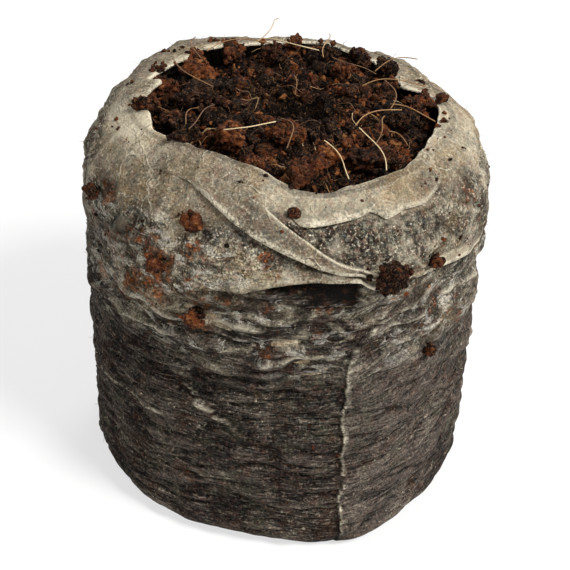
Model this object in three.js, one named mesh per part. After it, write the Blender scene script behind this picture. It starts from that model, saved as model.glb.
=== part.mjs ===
import * as THREE from "three";
import { ImprovedNoise } from "three/addons/math/ImprovedNoise.js";
import { mergeVertices } from "three/addons/utils/BufferGeometryUtils.js";

// A propagation plug: a swollen column of coconut coir in a fleece sleeve, open at the top for a cutting.
// Millimetres, +Z up, standing on z = 0 with its axis on x = y = 0.
// Azimuths are in degrees, measured from the front (-Y) towards the right (+X).

// Sleeve
const baseRadius = 20.5;
const baseCornerRadius = 2.6;
const baseOpeningRadius = 8;
const shoulderRadius = 20.7; // the wall's radius where the collar starts
const shoulderHeight = 31.2;
const collarFullness = 0.6; // share of the collar's height that stays as wide as the wall, over the front
const sideFullness = 0.93; // the same at the sides and the back
const sideAzimuths = [45, 80]; // where the sides start, and where they have their full form
const mouthRadius = 16.9;
const rimHeight = 42.9; // the mouth's edge at the sides and the back
const rimDip = 2.2; // how far the edge dips at the front right
const rimDipAzimuth = 28;
const rimDipSpread = 75;
const gatherDepth = 2.6; // how far the mouth is drawn in at most
const fleeceThickness = 0.4;
const outOfRound = 0.35;
const longAzimuth = 65; // the plug is widest across this azimuth

// Where the mouth is drawn in: azimuth, spread and share of the depth
const gathers = [
  [-32, 70, 1],
  [80, 60, 0.6],
  [-88, 45, 0.6],
];

// Creases across the wall, left from the sleeve's flat packed state
const pleatPitch = 2.3;
const pleatDepth = 0.7;
const pleatWander = 1.1;

// Side seam, one edge lapped over the other
const lapAzimuth = 20.5;
const lapWidth = 8;
const lapFade = 3; // the width over which the hidden edge of the lap thins out
const lapEdgeWidth = 0.35;
const keelDepth = 1.1; // the stiff lap stands out from the round, most at the base
const keelSpread = 30;
const keelHeight = 24;

// Collar: its hem hangs over the wall, a flap runs from the mouth down to the hem's tip, and the mouth's edge
// is turned out over the front right. A share is of the collar's height, from the shoulder to the mouth.
const hemDepth = 0.8;
const hemDrop = 0.9;
const hemRise = 2.6; // how far the hem is drawn up over the front
const hemRiseSpread = 48;
const hemAzimuth = 12;
const hemSpread = 62;
const hemLeast = 0.25; // the hem's depth at the back, beside the front
const slitDepth = 0.15;
const flapDepth = 0.8;
const flapTopAzimuth = -32;
const flapTipAzimuth = 29;
const flapLowShares = [0.78, 0.19]; // its lower edge, at its top and at its tip
const flapHighShares = [0.87, 0.25];
const flapBow = 1.6; // how much its upper edge bows upwards
const plainShares = [0.4, 0.55]; // where the sheet's rows lie where there is no flap
const cuffDepth = 0.55;
const cuffAzimuth = 28;
const cuffSpread = 26;
const cuffShare = 0.8;
const rimPleatDepth = 0.4;
const rimPleatCount = 9;
const baseTuckCount = 10;
const baseTuckDepth = 0.25;

// Coir column, with a dibbled planting hole
const clearance = 0.3;
const soilBelowRim = 2.1;
const soilTilt = 1.3; // how far the coir's top dips at the front and rises at the back
const moundHeight = 1.2;
const lumpSize = 3.1;
const lumpHeight = 1.6;
const grainSize = 1.3;
const grainHeight = 1.3;
const brimGap = 1.3; // from the mouth's edge to the coir's
const plantingHoleRadius = 3.7;
const plantingHoleBottomRadius = 3.3;
const plantingHoleDepth = 13;
const plantingHoleFunnel = 1.2;
const holeFloorRound = 0.8;

// Loose pieces
const chipLength = 3.4; // mean of the husk chips
const chipWidth = 2.3;
const chipThickness = 1.5;
const chipCount = 24;
const crumbSize = 1.7;
const fibreLength = 6; // mean of the coir fibres
const fibreArch = 0.8; // mean rise of a fibre's middle
const fibreDiameter = 0.25;
const settlingHeight = 13; // the loose pieces start this far over the mouth and are set down

// Faceting
const columns = 60;
const topRings = 12;
const fibreSides = 5;
const fibreSteps = 8;

const noise = new ImprovedNoise();
const radians = THREE.MathUtils.degToRad;
const lerp = THREE.MathUtils.lerp;

// A point at an azimuth, a distance from the axis and a height.
function place(azimuth, radius, height) {
  const a = radians(azimuth);
  return new THREE.Vector3(radius * Math.sin(a), -radius * Math.cos(a), height);
}

// The smallest turn from one azimuth to another, from -180 to 180.
function turn(from, to) {
  return THREE.MathUtils.euclideanModulo(to - from + 180, 360) - 180;
}

// A smooth hump of height 1 at an azimuth, gone at the spread.
function hump(azimuth, centre, spread) {
  const t = Math.min(1, Math.abs(turn(centre, azimuth)) / spread);
  return 0.5 + 0.5 * Math.cos(Math.PI * t);
}

// Smooth noise round the plug, about -0.5 to 0.5, different for each level.
const wanderTurns = 2.2;
function wander(azimuth, level, turns = wanderTurns) {
  const a = radians(azimuth);
  return noise.noise(turns * Math.cos(a) + 9.3, turns * Math.sin(a) + 4.1, level * 0.83 + 0.4);
}

// Joins rings of points into one skin. A ring of one point is a pole, and a loop's last ring meets its first.
function skin(rings, isLoop = false) {
  const starts = [];
  const positions = [];
  for (const ring of rings) {
    starts.push(positions.length / 3);
    for (const point of ring) positions.push(point.x, point.y, point.z);
  }
  const index = [];
  const bands = isLoop ? rings.length : rings.length - 1;
  for (let band = 0; band < bands; band++) {
    const next = (band + 1) % rings.length;
    const lowCount = rings[band].length;
    const highCount = rings[next].length;
    const count = Math.max(lowCount, highCount);
    for (let i = 0; i < count; i++) {
      const j = (i + 1) % count;
      const low = [starts[band] + (i % lowCount), starts[band] + (j % lowCount)];
      const high = [starts[next] + (i % highCount), starts[next] + (j % highCount)];
      if (lowCount > 1) index.push(low[0], low[1], high[1]);
      if (highCount > 1) index.push(low[0], high[1], high[0]);
    }
  }
  const geometry = new THREE.BufferGeometry();
  geometry.setAttribute("position", new THREE.Float32BufferAttribute(positions, 3));
  geometry.setIndex(index);
  geometry.computeVertexNormals();
  return geometry;
}

const fleece = { color: 0x9d9484, roughness: 0.9, metalness: 0 };
const coir = { color: 0x3b2418, roughness: 1, metalness: 0 };
const husks = [0x6b3518, 0x4a2716, 0x81451d, 0x5a3320];
const straw = { color: 0xc69a52, roughness: 0.8, metalness: 0 };

function piece(name, geometry, look) {
  const mesh = new THREE.Mesh(geometry, new THREE.MeshStandardMaterial(look));
  mesh.name = name;
  return mesh;
}

// Azimuths of the columns. Two stand close together at the lap's edge.
const lapEdgeTurn = THREE.MathUtils.radToDeg(lapEdgeWidth / shoulderRadius);
const azimuths = [];
for (let i = 0; i < columns; i++) {
  azimuths.push(lapAzimuth + lapEdgeTurn / 2 + (i * (360 - lapEdgeTurn)) / (columns - 1));
}

// The sleeve's upright section at an azimuth, in four runs from the base opening up to the mouth.
// A section's x is the distance from the axis, and its y is the height.
function section(azimuth) {
  const oval = outOfRound * Math.cos(radians(2 * (azimuth - longAzimuth)));
  const shoulder = shoulderRadius + oval;
  const foot = baseRadius + oval;
  const drawnIn = gathers.map(([centre, spread, share]) => share * hump(azimuth, centre, spread));
  const mouth = mouthRadius - gatherDepth * Math.max(...drawnIn) + outOfRound * wander(azimuth, 40);
  const dip = rimDip * hump(azimuth, rimDipAzimuth, rimDipSpread);
  const rim = rimHeight - dip + outOfRound * wander(azimuth, 50);
  const side = THREE.MathUtils.smoothstep(Math.abs(turn(0, azimuth)), ...sideAzimuths);
  const fullness = lerp(collarFullness, sideFullness, side);
  const corner = baseCornerRadius;
  return {
    base: new THREE.LineCurve(
      new THREE.Vector2(baseOpeningRadius, 0),
      new THREE.Vector2(foot - corner, 0),
    ),
    corner: new THREE.EllipseCurve(foot - corner, corner, corner, corner, -Math.PI / 2, 0),
    wall: new THREE.LineCurve(
      new THREE.Vector2(foot, corner),
      new THREE.Vector2(shoulder, shoulderHeight),
    ),
    collar: new THREE.QuadraticBezierCurve(
      new THREE.Vector2(shoulder, shoulderHeight),
      new THREE.Vector2(shoulder, lerp(shoulderHeight, rim, fullness)),
      new THREE.Vector2(mouth, rim),
    ),
  };
}

// How far the lap stands out.
function keel(azimuth, height) {
  const fade = THREE.MathUtils.smoothstep(height, 0, keelHeight);
  return keelDepth * hump(azimuth, lapAzimuth, keelSpread) * (1 - fade);
}

// A point of the section: lift is square to the sheet, outwards, and slide is along it, upwards.
function sheetPoint(azimuth, run, share, lift, slide = 0) {
  const curve = section(azimuth)[run];
  const at = curve.getPoint(share);
  const along = curve.getTangent(share);
  at.x += along.y * lift + along.x * slide;
  at.y += -along.x * lift + along.y * slide;
  const out = THREE.MathUtils.smoothstep(at.x, baseOpeningRadius, baseRadius - baseCornerRadius);
  return place(azimuth, at.x + out * keel(azimuth, at.y), at.y);
}

// The lapped edge lies on top of the sheet for the lap's width.
function lapLift(azimuth) {
  const along = radians(THREE.MathUtils.euclideanModulo(azimuth - lapAzimuth, 360)) * shoulderRadius;
  return fleeceThickness * (1 - THREE.MathUtils.smoothstep(along, lapWidth, lapWidth + lapFade));
}

// The flap's lower and upper edges, as shares of the collar, and how far it stands out between them.
function flapAt(azimuth) {
  const down = turn(flapTopAzimuth, azimuth) / (flapTipAzimuth - flapTopAzimuth);
  const along = THREE.MathUtils.clamp(down, 0, 1);
  const away = THREE.MathUtils.smoothstep(Math.abs(down - 0.5), 0.5, 1.5);
  const low = lerp(lerp(...flapLowShares, along), plainShares[0], away);
  const high = lerp(lerp(...flapHighShares, along ** flapBow), plainShares[1], away);
  return { low, high, lift: flapDepth * (1 - THREE.MathUtils.smoothstep(Math.abs(down - 0.5), 0.4, 0.75)) };
}

function rimPleat(azimuth) {
  const wave = 0.5 + 0.5 * Math.cos(radians(azimuth * rimPleatCount) + 5 * wander(azimuth, 60, 1.1));
  return rimPleatDepth * wave;
}

function makeSleeve() {
  const rings = [];
  const ring = (run, share, lift, slide = () => 0) => {
    const at = typeof share === "function" ? share : () => share;
    rings.push(azimuths.map((a) => sheetPoint(a, run, at(a), lift(a), slide(a))));
  };

  // Under the base the end is folded in, in shallow radial tucks between flat places.
  const tuckEvery = Math.max(2, Math.round(columns / baseTuckCount));
  const baseTuck = (a) => (azimuths.indexOf(a) % tuckEvery === 0 ? -baseTuckDepth : 0);
  ring("base", 0, baseTuck);
  ring("base", 0.55, baseTuck);
  ring("base", 1, (a) => 0.4 * baseTuck(a));
  ring("corner", 0.35, (a) => 0.5 * lapLift(a));
  ring("corner", 0.7, lapLift);

  const pleatCount = Math.round((shoulderHeight - baseCornerRadius - hemDrop) / pleatPitch);
  const wallTop = 1 - hemDrop / (shoulderHeight - baseCornerRadius);
  for (let k = 0; k < pleatCount; k++) {
    const drift = (a) => pleatWander * 2 * wander(a, k);
    const depth = (a) => pleatDepth * (0.8 + 0.8 * wander(a, k + 20, 3));
    ring("wall", (wallTop * k) / pleatCount, lapLift, drift);
    ring("wall", (wallTop * (k + 0.5)) / pleatCount, (a) => depth(a) + lapLift(a), drift);
  }

  // The hem hangs over the wall, deepest near the flap's tip. The flap and the turned edge stand on it.
  const hem = (a) => lerp(hemLeast, 1, hump(a, hemAzimuth, hemSpread));
  const cuff = (a) => cuffDepth * THREE.MathUtils.smoothstep(hump(a, cuffAzimuth, cuffSpread), 0, 0.4);
  const cuffEdge = (a) => Math.max(cuffShare, flapAt(a).high + 0.07);
  const drawnUp = (a) => hemRise * hump(a, hemAzimuth, hemRiseSpread);
  const hemShare = (a) => drawnUp(a) / (rimHeight - shoulderHeight);
  ring("wall", wallTop, (a) => lapLift(a) - slitDepth * hem(a), drawnUp);
  ring("collar", 0, (a) => lapLift(a) + hemDepth * hem(a), (a) => drawnUp(a) - 0.7 * hemDrop * hem(a));
  ring("collar", (a) => lerp(hemShare(a), flapAt(a).low, 0.5), (a) => lapLift(a) + 0.3 * hem(a));
  ring("collar", (a) => flapAt(a).low - 0.01, (a) => lapLift(a));
  ring("collar", (a) => flapAt(a).low + 0.02, (a) => lapLift(a) + flapAt(a).lift);
  ring("collar", (a) => flapAt(a).high - 0.02, (a) => lapLift(a) + 0.9 * flapAt(a).lift);
  ring("collar", (a) => flapAt(a).high + 0.01, (a) => lapLift(a) + 0.2 * flapAt(a).lift);
  ring("collar", (a) => cuffEdge(a) - 0.02, (a) => 0.5 * lapLift(a) + 0.3 * rimPleat(a));
  ring("collar", (a) => cuffEdge(a) + 0.01, (a) => 0.5 * lapLift(a) + 0.3 * rimPleat(a) + cuff(a));
  ring("collar", 0.975, (a) => 0.4 * lapLift(a) + rimPleat(a) + 0.7 * cuff(a));
  ring("collar", 1, (a) => 0.6 * rimPleat(a) + 0.5 * cuff(a));

  // The inner face, smooth against the coir, from the mouth down to the base opening.
  const inner = () => -fleeceThickness;
  ring("collar", 1, inner);
  for (const share of [0.75, 0.5, 0.25]) ring("collar", share, inner);
  for (const share of [1, 0.66, 0.33, 0]) ring("wall", share, inner);
  ring("corner", 0.5, inner);
  for (const share of [1, 0]) ring("base", share, inner);
  return piece("fleece_sleeve", skin(rings, true), fleece);
}

// The coir's top: a low mound of lumps that dips at the front, smooth round the planting hole.
const funnelRadius = plantingHoleRadius + plantingHoleFunnel;
function soilHeight(x, y) {
  const radius = Math.hypot(x, y);
  const out = radius / mouthRadius;
  const lumps = lumpHeight * noise.noise(x / lumpSize, y / lumpSize, 2.7);
  const grains = grainHeight * noise.noise(x / grainSize, y / grainSize, 7.7);
  const loose = THREE.MathUtils.smoothstep(radius, funnelRadius, funnelRadius + lumpSize) * (1 - out ** 6);
  const mound = moundHeight * (1 - out * out) + (lumps + grains) * loose;
  return rimHeight + (soilTilt * y) / mouthRadius - soilBelowRim + mound;
}

function makeCore() {
  const rings = [];
  const under = -(fleeceThickness + clearance);
  const against = (run, share) => {
    rings.push(azimuths.map((a) => sheetPoint(a, run, share, under)));
  };
  rings.push([new THREE.Vector3(0, 0, -under)]);
  against("base", 1);
  against("corner", 0.5);
  for (const share of [0, 0.33, 0.66, 1]) against("wall", share);
  for (const share of [0.25, 0.5, 0.75, 0.9]) against("collar", share);

  const onTop = (radius, drop = 0) => {
    const ring = azimuths.map((a) => {
      const at = place(a, radius(a), 0);
      at.z = soilHeight(at.x, at.y) - drop;
      return at;
    });
    rings.push(ring);
  };
  const brim = (a) => section(a).collar.getPoint(1).x - brimGap;
  for (let i = 0; i < topRings; i++) {
    onTop((a) => lerp(brim(a), funnelRadius, i / (topRings - 1)));
  }
  onTop(() => plantingHoleRadius, plantingHoleFunnel);
  const holeBottom = rimHeight - plantingHoleDepth - rimDip / 2;
  rings.push(azimuths.map((a) => place(a, plantingHoleBottomRadius, holeBottom + holeFloorRound)));
  rings.push(azimuths.map((a) => place(a, plantingHoleBottomRadius - holeFloorRound, holeBottom)));
  rings.push([new THREE.Vector3(0, 0, holeBottom)]);
  return piece("coir_core", skin(rings), coir);
}

// Moves a piece in a straight line until it lies the clearance short of its carriers.
const caster = new THREE.Raycaster();
function gapTo(from, direction, targets) {
  caster.set(from, direction);
  const hit = caster.intersectObjects(targets, false)[0];
  return hit ? hit.distance : Infinity;
}

function corners(mesh) {
  const at = mesh.geometry.getAttribute("position");
  const list = [];
  for (let i = 0; i < at.count; i++) {
    list.push(new THREE.Vector3().fromBufferAttribute(at, i).applyMatrix4(mesh.matrixWorld));
  }
  return list;
}

function settle(mesh, direction, carriers) {
  mesh.updateMatrixWorld(true);
  const reach = new THREE.Box3().setFromObject(mesh);
  reach.expandByPoint(reach.min.clone().addScaledVector(direction, shoulderRadius + settlingHeight));
  reach.expandByPoint(reach.max.clone().addScaledVector(direction, shoulderRadius + settlingHeight));
  const back = direction.clone().negate();
  const near = carriers.filter((c) => new THREE.Box3().setFromObject(c).intersectsBox(reach));
  let gap = Math.min(...corners(mesh).map((p) => gapTo(p, direction, near)));
  for (const carrier of near) {
    const facing = corners(carrier).filter((p) => reach.containsPoint(p));
    gap = Math.min(gap, ...facing.map((p) => gapTo(p, back, [mesh])));
  }
  mesh.position.addScaledVector(direction, gap - clearance);
  mesh.updateMatrixWorld(true);
  return mesh;
}

// A rough chunk of husk, its long side along its own x.
const chunkRoughness = 0.65;
const chunkBend = 0.3;
function chunk(length, width, thickness, seed) {
  const ball = new THREE.IcosahedronGeometry(0.5, 1);
  ball.deleteAttribute("normal");
  ball.deleteAttribute("uv");
  const geometry = mergeVertices(ball);
  const at = geometry.getAttribute("position");
  for (let i = 0; i < at.count; i++) {
    const p = new THREE.Vector3().fromBufferAttribute(at, i);
    p.multiplyScalar(1 + chunkRoughness * noise.noise(p.x * 2.4 + seed, p.y * 2.4, p.z * 2.4 + 0.5));
    at.setXYZ(i, p.x * length, p.y * width, (p.z + chunkBend * p.x * p.x) * thickness);
  }
  geometry.computeVertexNormals();
  return geometry;
}

const down = new THREE.Vector3(0, 0, -1);
const plug = new THREE.Group();
const core = makeCore();
const sleeve = makeSleeve();
plug.add(sleeve, core);
const carriers = [core, sleeve];

// The husk chips lie on the coir, in a spread that a golden turn keeps even.
const goldenTurn = 137.508;
THREE.MathUtils.seededRandom(11);
const vary = (low, high) => lerp(low, high, THREE.MathUtils.seededRandom());
const innerReach = funnelRadius + 0.5 * chipLength;
const outerReach = mouthRadius - 0.75 * chipLength;
for (let i = 0; i < chipCount; i++) {
  const share = Math.sqrt((i + 0.5) / chipCount);
  const size = vary(0.65, 1.3);
  const look = { color: husks[i % husks.length], roughness: 0.95, metalness: 0 };
  const geometry = chunk(chipLength * size, chipWidth * size, chipThickness * vary(0.8, 1.2), i * 3.7);
  const chip = piece("husk_chip_" + String(i + 1).padStart(2, "0"), geometry, look);
  chip.position.copy(place(i * goldenTurn, lerp(innerReach, outerReach, share), rimHeight + settlingHeight));
  chip.rotation.set(vary(-0.35, 0.35), vary(-0.35, 0.35), vary(0, 2 * Math.PI));
  carriers.push(settle(chip, down, carriers));
  plug.add(chip);
}

// Crumbs that stick to the sleeve: azimuth, run, share of the run's height and size beside the mean.
const runs = { wall: [0, shoulderHeight], collar: [shoulderHeight, rimHeight] };
const crumbs = [
  [-26, "collar", 0.61, 1.15],
  [27, "collar", 0.31, 1.85],
  [43, "collar", 0.24, 0.8],
  [-35, "collar", 0.18, 0.9],
  [-65, "collar", 0.44, 0.9],
  [3, "collar", 0.75, 0.5],
  [-23, "wall", 0.93, 0.9],
  [44, "wall", 0.75, 0.5],
  [118, "collar", 0.2, 1],
  [170, "wall", 0.9, 0.9],
  [-140, "collar", 0.28, 1.1],
  [-105, "wall", 0.77, 0.8],
];
crumbs.forEach(([azimuth, run, share, size], i) => {
  const look = { color: husks[(i + 2) % husks.length], roughness: 0.95, metalness: 0 };
  const geometry = chunk(crumbSize * size, 0.85 * crumbSize * size, 0.7 * crumbSize * size, i * 5.3 + 2);
  const crumb = piece("stuck_crumb_" + String(i + 1).padStart(2, "0"), geometry, look);
  const inwards = place(azimuth, -1, 0);
  crumb.position.copy(place(azimuth, shoulderRadius + settlingHeight, lerp(...runs[run], share)));
  crumb.rotation.set(Math.PI / 2, 0, 0);
  crumb.rotateOnWorldAxis(new THREE.Vector3(0, 0, 1), radians(azimuth));
  carriers.push(settle(crumb, inwards, carriers));
  plug.add(crumb);
});

// Coir fibres on top: azimuth, share of the way out and heading, and beside the mean their length, their arch
// and how far the far end stands up.
const fibres = [
  [-150, 0.55, 20, 1.2, 0.8, 0.5],
  [160, 0.6, 95, 0.9, 0.6, 0.6],
  [22, 0.72, 128, 0.8, 0.5, 2.4],
  [38, 0.76, 115, 0.9, 0.4, 2.6],
  [52, 0.6, 65, 0.8, 0.9, 1],
  [-60, 0.55, 70, 1, 1, 0.3],
  [-100, 0.5, 130, 1.3, 0.8, 0.4],
  [100, 0.55, 10, 1.1, 0.9, 0.4],
  [75, 0.7, 170, 0.8, 0.5, 1.2],
  [-20, 0.5, 15, 0.9, 0.6, 0.5],
  [-170, 0.7, 60, 1.1, 1, 0.3],
  [135, 0.45, 140, 0.9, 0.6, 0.8],
  [-130, 0.7, 100, 0.8, 0.6, 0.6],
  [60, 0.5, 40, 0.9, 0.8, 0.7],
  [-80, 0.65, 160, 0.9, 0.7, 0.9],
  [0, 0.4, 100, 1, 0.9, 0.3],
  [85, 0.5, 85, 1, 0.7, 0.4],
  [-45, 0.6, 50, 0.8, 0.5, 0.8],
  [120, 0.7, 25, 0.9, 0.6, 0.5],
  [180, 0.45, 170, 1.1, 0.8, 0.4],
];
const fibreBend = 0.12; // sideways, beside the length
fibres.forEach(([azimuth, share, heading, size, arch, rise], i) => {
  const length = fibreLength * size;
  const sag = (t) => fibreArch * (arch * 4 * t * (1 - t) + rise * t * t);
  const bend = (t) => fibreBend * length * Math.sin(Math.PI * t * 1.3 + i);
  const points = [0, 0.25, 0.5, 0.75, 1].map(
    (t) => new THREE.Vector3((t - 0.5) * length, bend(t), sag(t)),
  );
  const outline = new THREE.EllipseCurve(0, 0, fibreDiameter / 2, fibreDiameter / 2);
  const cross = new THREE.Shape(outline.getPoints(fibreSides).slice(0, fibreSides));
  const geometry = new THREE.ExtrudeGeometry(cross, {
    steps: fibreSteps,
    bevelEnabled: false,
    extrudePath: new THREE.CatmullRomCurve3(points),
  });
  const fibre = piece("coir_fibre_" + String(i + 1).padStart(2, "0"), geometry, straw);
  const out = lerp(plantingHoleRadius, mouthRadius, share);
  fibre.position.copy(place(azimuth, out, rimHeight + settlingHeight));
  fibre.rotation.z = radians(heading);
  carriers.push(settle(fibre, down, carriers));
  plug.add(fibre);
});

export default plug;
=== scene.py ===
import functools
import math
import random
import time

import bmesh
import bpy
from mathutils import Matrix, Vector, noise
from mathutils.bvhtree import BVHTree


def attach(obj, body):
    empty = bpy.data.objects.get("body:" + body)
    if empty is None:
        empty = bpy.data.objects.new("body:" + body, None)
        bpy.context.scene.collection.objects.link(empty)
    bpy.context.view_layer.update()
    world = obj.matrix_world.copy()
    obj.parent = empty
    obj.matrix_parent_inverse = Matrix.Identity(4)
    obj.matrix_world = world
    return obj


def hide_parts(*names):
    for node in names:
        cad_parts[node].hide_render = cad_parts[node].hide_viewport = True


# A propagation plug: coir swollen inside a fleece sleeve. Sizes are in millimetres until a point is placed.
# Azimuths are in degrees from the front (-Y) towards the right (+X).
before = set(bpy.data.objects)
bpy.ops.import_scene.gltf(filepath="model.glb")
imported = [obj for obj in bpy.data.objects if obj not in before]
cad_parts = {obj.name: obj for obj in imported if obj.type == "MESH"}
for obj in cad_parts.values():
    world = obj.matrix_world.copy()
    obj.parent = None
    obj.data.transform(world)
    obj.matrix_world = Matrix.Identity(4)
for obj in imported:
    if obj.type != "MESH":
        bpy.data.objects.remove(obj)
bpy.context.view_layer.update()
scene = bpy.context.scene
scene.view_settings.view_transform = "Standard"
mm = 0.001
luck = random.Random(7)
startTime = time.time()


def report(stage):
    print(f"{stage}, {time.time() - startTime:.0f} s")


def mix(a, b, share):
    return a + (b - a) * share


def ease(value, low, high):
    t = min(1, max(0, (value - low) / (high - low)))
    return t * t * (3 - 2 * t)


def fade(value, low, high):
    return 1 - ease(value, low, high)


def ripple(x, y, z, size=1):  # smooth noise, about -0.6 to 0.6
    return noise.noise(Vector((x / size, y / size, z / size)))


def turnFrom(centre, azimuth):  # the shortest turn, -180 to 180
    return (azimuth - centre + 180) % 360 - 180


def hump(azimuth, centre, spread):
    return 0.5 + 0.5 * math.cos(math.pi * min(1, abs(turnFrom(centre, azimuth)) / spread))


def around(stations, azimuth):  # values between stations (azimuth, value, ...) that go once round the plug
    azimuth = (azimuth + 180) % 360 - 180
    last = stations[-1]
    before = (last[0] - 360, *last[1:])
    for after in [*stations, (stations[0][0] + 360, *stations[0][1:])]:
        if azimuth <= after[0]:
            share = (azimuth - before[0]) / (after[0] - before[0])
            return [mix(a, b, share) for a, b in zip(before[1:], after[1:])]
        before = after


def circle(azimuth, radius):
    a = math.radians(azimuth)
    return radius * math.sin(a), radius * math.cos(a)


def place(azimuth, radius, height):
    x, y = circle(azimuth, radius)
    return Vector((x, -y, height)) * mm


def paint(*screen):  # a colour given as screen values from 0 to 255
    linear = [c / 255 / 12.92 if c <= 10 else ((c / 255 + 0.055) / 1.055) ** 2.4 for c in screen]
    return (*linear, 1)


# Camera

view = {
    "distance": 123.6,
    "height": 101.7,
    "aim": (0.45, 0, 20.2),
    "angle": 24.2,  # degrees across the picture
    "roll": 2.2,
    "clipStart": 0.005,
}


def makeCamera():
    camera = bpy.data.objects.new("camera", bpy.data.cameras.new("camera"))
    scene.collection.objects.link(camera)
    camera.location = place(0, view["distance"], view["height"])
    turned = (Vector(view["aim"]) * mm - camera.location).to_track_quat("-Z", "Y").to_matrix()
    camera.rotation_euler = (turned @ Matrix.Rotation(math.radians(view["roll"]), 3, "Z")).to_euler()
    camera.data.angle = math.radians(view["angle"])
    camera.data.clip_start = view["clipStart"]
    scene.camera = camera


makeCamera()
report("camera made")


# Materials

class Wire:  # a socket in a material; a sum written with it adds Math nodes
    def __init__(self, finish, socket):
        self.finish = finish
        self.socket = socket

    def sum(self, operation, first, second):
        return self.finish.node("ShaderNodeMath", {"operation": operation}, {0: first, 1: second})

    def __add__(self, other):
        return self.sum("ADD", self, other)

    def __radd__(self, other):
        return self.sum("ADD", other, self)

    def __sub__(self, other):
        return self.sum("SUBTRACT", self, other)

    def __rsub__(self, other):
        return self.sum("SUBTRACT", other, self)

    def __mul__(self, other):
        return self.sum("MULTIPLY", self, other)

    def __rmul__(self, other):
        return self.sum("MULTIPLY", other, self)

    def __pow__(self, other):
        return self.sum("POWER", self, other)

    def __abs__(self):
        return self.sum("ABSOLUTE", self, 0)


class Finish:  # one material under construction
    def __init__(self, name, look=None):
        self.look = look
        self.material = bpy.data.materials.new(name)
        self.material.use_nodes = True
        self.tree = self.material.node_tree
        self.tree.nodes.clear()
        self.spot = self.node("ShaderNodeTexCoord", output="Object")

    def node(self, kind, settings=None, inputs=None, output=0):
        node = self.tree.nodes.new(kind)
        for key, value in (settings or {}).items():
            if key == "stops":
                while len(node.color_ramp.elements) < len(value):
                    node.color_ramp.elements.new(1)
                for element, (at, colour) in zip(node.color_ramp.elements, value):
                    element.position = at
                    element.color = colour
            else:
                setattr(node, key, value)
        for key, value in (inputs or {}).items():
            if isinstance(value, Wire):
                self.tree.links.new(value.socket, node.inputs[key])
            else:
                node.inputs[key].default_value = value
        return Wire(self, node.outputs[output])

    def attribute(self, name):
        return self.node("ShaderNodeAttribute", {"attribute_name": name}, output="Fac")

    def stretch(self, vector, *scales):
        settings = {"operation": "MULTIPLY"}
        return self.node("ShaderNodeVectorMath", settings, {0: vector, 1: scales})

    def cloud(self, vector, scale, detail=3, roughness=0.5, distortion=0):
        inputs = {"Vector": vector, "Scale": scale, "Detail": detail}
        inputs.update({"Roughness": roughness, "Distortion": distortion})
        return self.node("ShaderNodeTexNoise", {}, inputs)

    def ease(self, value, low, high):
        inputs = {"Value": value, "From Min": low, "From Max": high}
        return self.node("ShaderNodeMapRange", {"interpolation_type": "SMOOTHSTEP"}, inputs)

    def fade(self, value, low, high):
        return 1 - self.ease(value, low, high)

    def hair(self, vector, scale, width, distortion=0.8):  # thin winding lines
        return self.fade(abs(self.cloud(vector, scale, 1, 0.5, distortion) - 0.5), 0, width)

    def blend(self, share, first, second):
        return self.node("ShaderNodeMix", {"data_type": "RGBA"}, {0: share, 6: first, 7: second}, 2)

    def coat(self, colour, *layers):  # each layer is a share and a colour, from the lowest up
        for share, over in layers:
            colour = self.blend(share, colour, over if isinstance(over, Wire) else self.look[over])
        return colour

    def surface(self, colour, roughness, shine, height, strength, distance):
        bump = {"Height": height, "Strength": strength, "Distance": distance}
        normal = self.node("ShaderNodeBump", {}, bump)
        inputs = {"Base Color": colour, "Roughness": roughness, "Normal": normal}
        inputs["Specular IOR Level"] = shine
        self.close(self.node("ShaderNodeBsdfPrincipled", {}, inputs))
        return self.material

    def close(self, shader):
        end = self.tree.nodes.new("ShaderNodeOutputMaterial")
        self.tree.links.new(shader.socket, end.inputs["Surface"])


# What each point of the sleeve tells its material: 0 on the wall to 1 on the collar, 0 in a crease to
# 1 on a pleat, the cloth's bright edge with its painted highlight, how pale and smooth it is, the lapped
# strip, the painted shade under a fold and in the slit together with the dark of wet coir, rust from the
# coir, and the lumpy zone below the collar
clothMarks = ("tone", "crimp", "edge", "cream", "lap", "gloom", "stain", "high")
fleeceLook = {
    # valley is painted shade in the creases over the wet coir, crest a painted highlight on the pleats'
    # tops; edge is the palest cloth, also used for painted highlights and glints
    "valley": paint(12, 8, 6),
    "wet": paint(37, 30, 27),
    "crest": paint(78, 69, 62),
    "lapped": paint(92, 83, 76),
    "thread": paint(138, 128, 114),
    "brown": paint(58, 34, 20),
    "olive": paint(82, 80, 64),
    "gap": paint(5, 4, 3),
    "shade": paint(42, 34, 27),
    "mottle": paint(102, 93, 78),
    "light": paint(164, 155, 133),
    "chalk": paint(182, 178, 166),
    "window": paint(116, 103, 82),
    "cream": paint(176, 165, 141),
    "edge": paint(212, 202, 178),
    "pressed": paint(24, 19, 15),
    "rust": paint(132, 74, 32),
    "tan": paint(158, 132, 88),
    "veil": paint(108, 94, 84),
    "blush": paint(128, 98, 84),
    "slate": paint(84, 88, 84),
}


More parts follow.
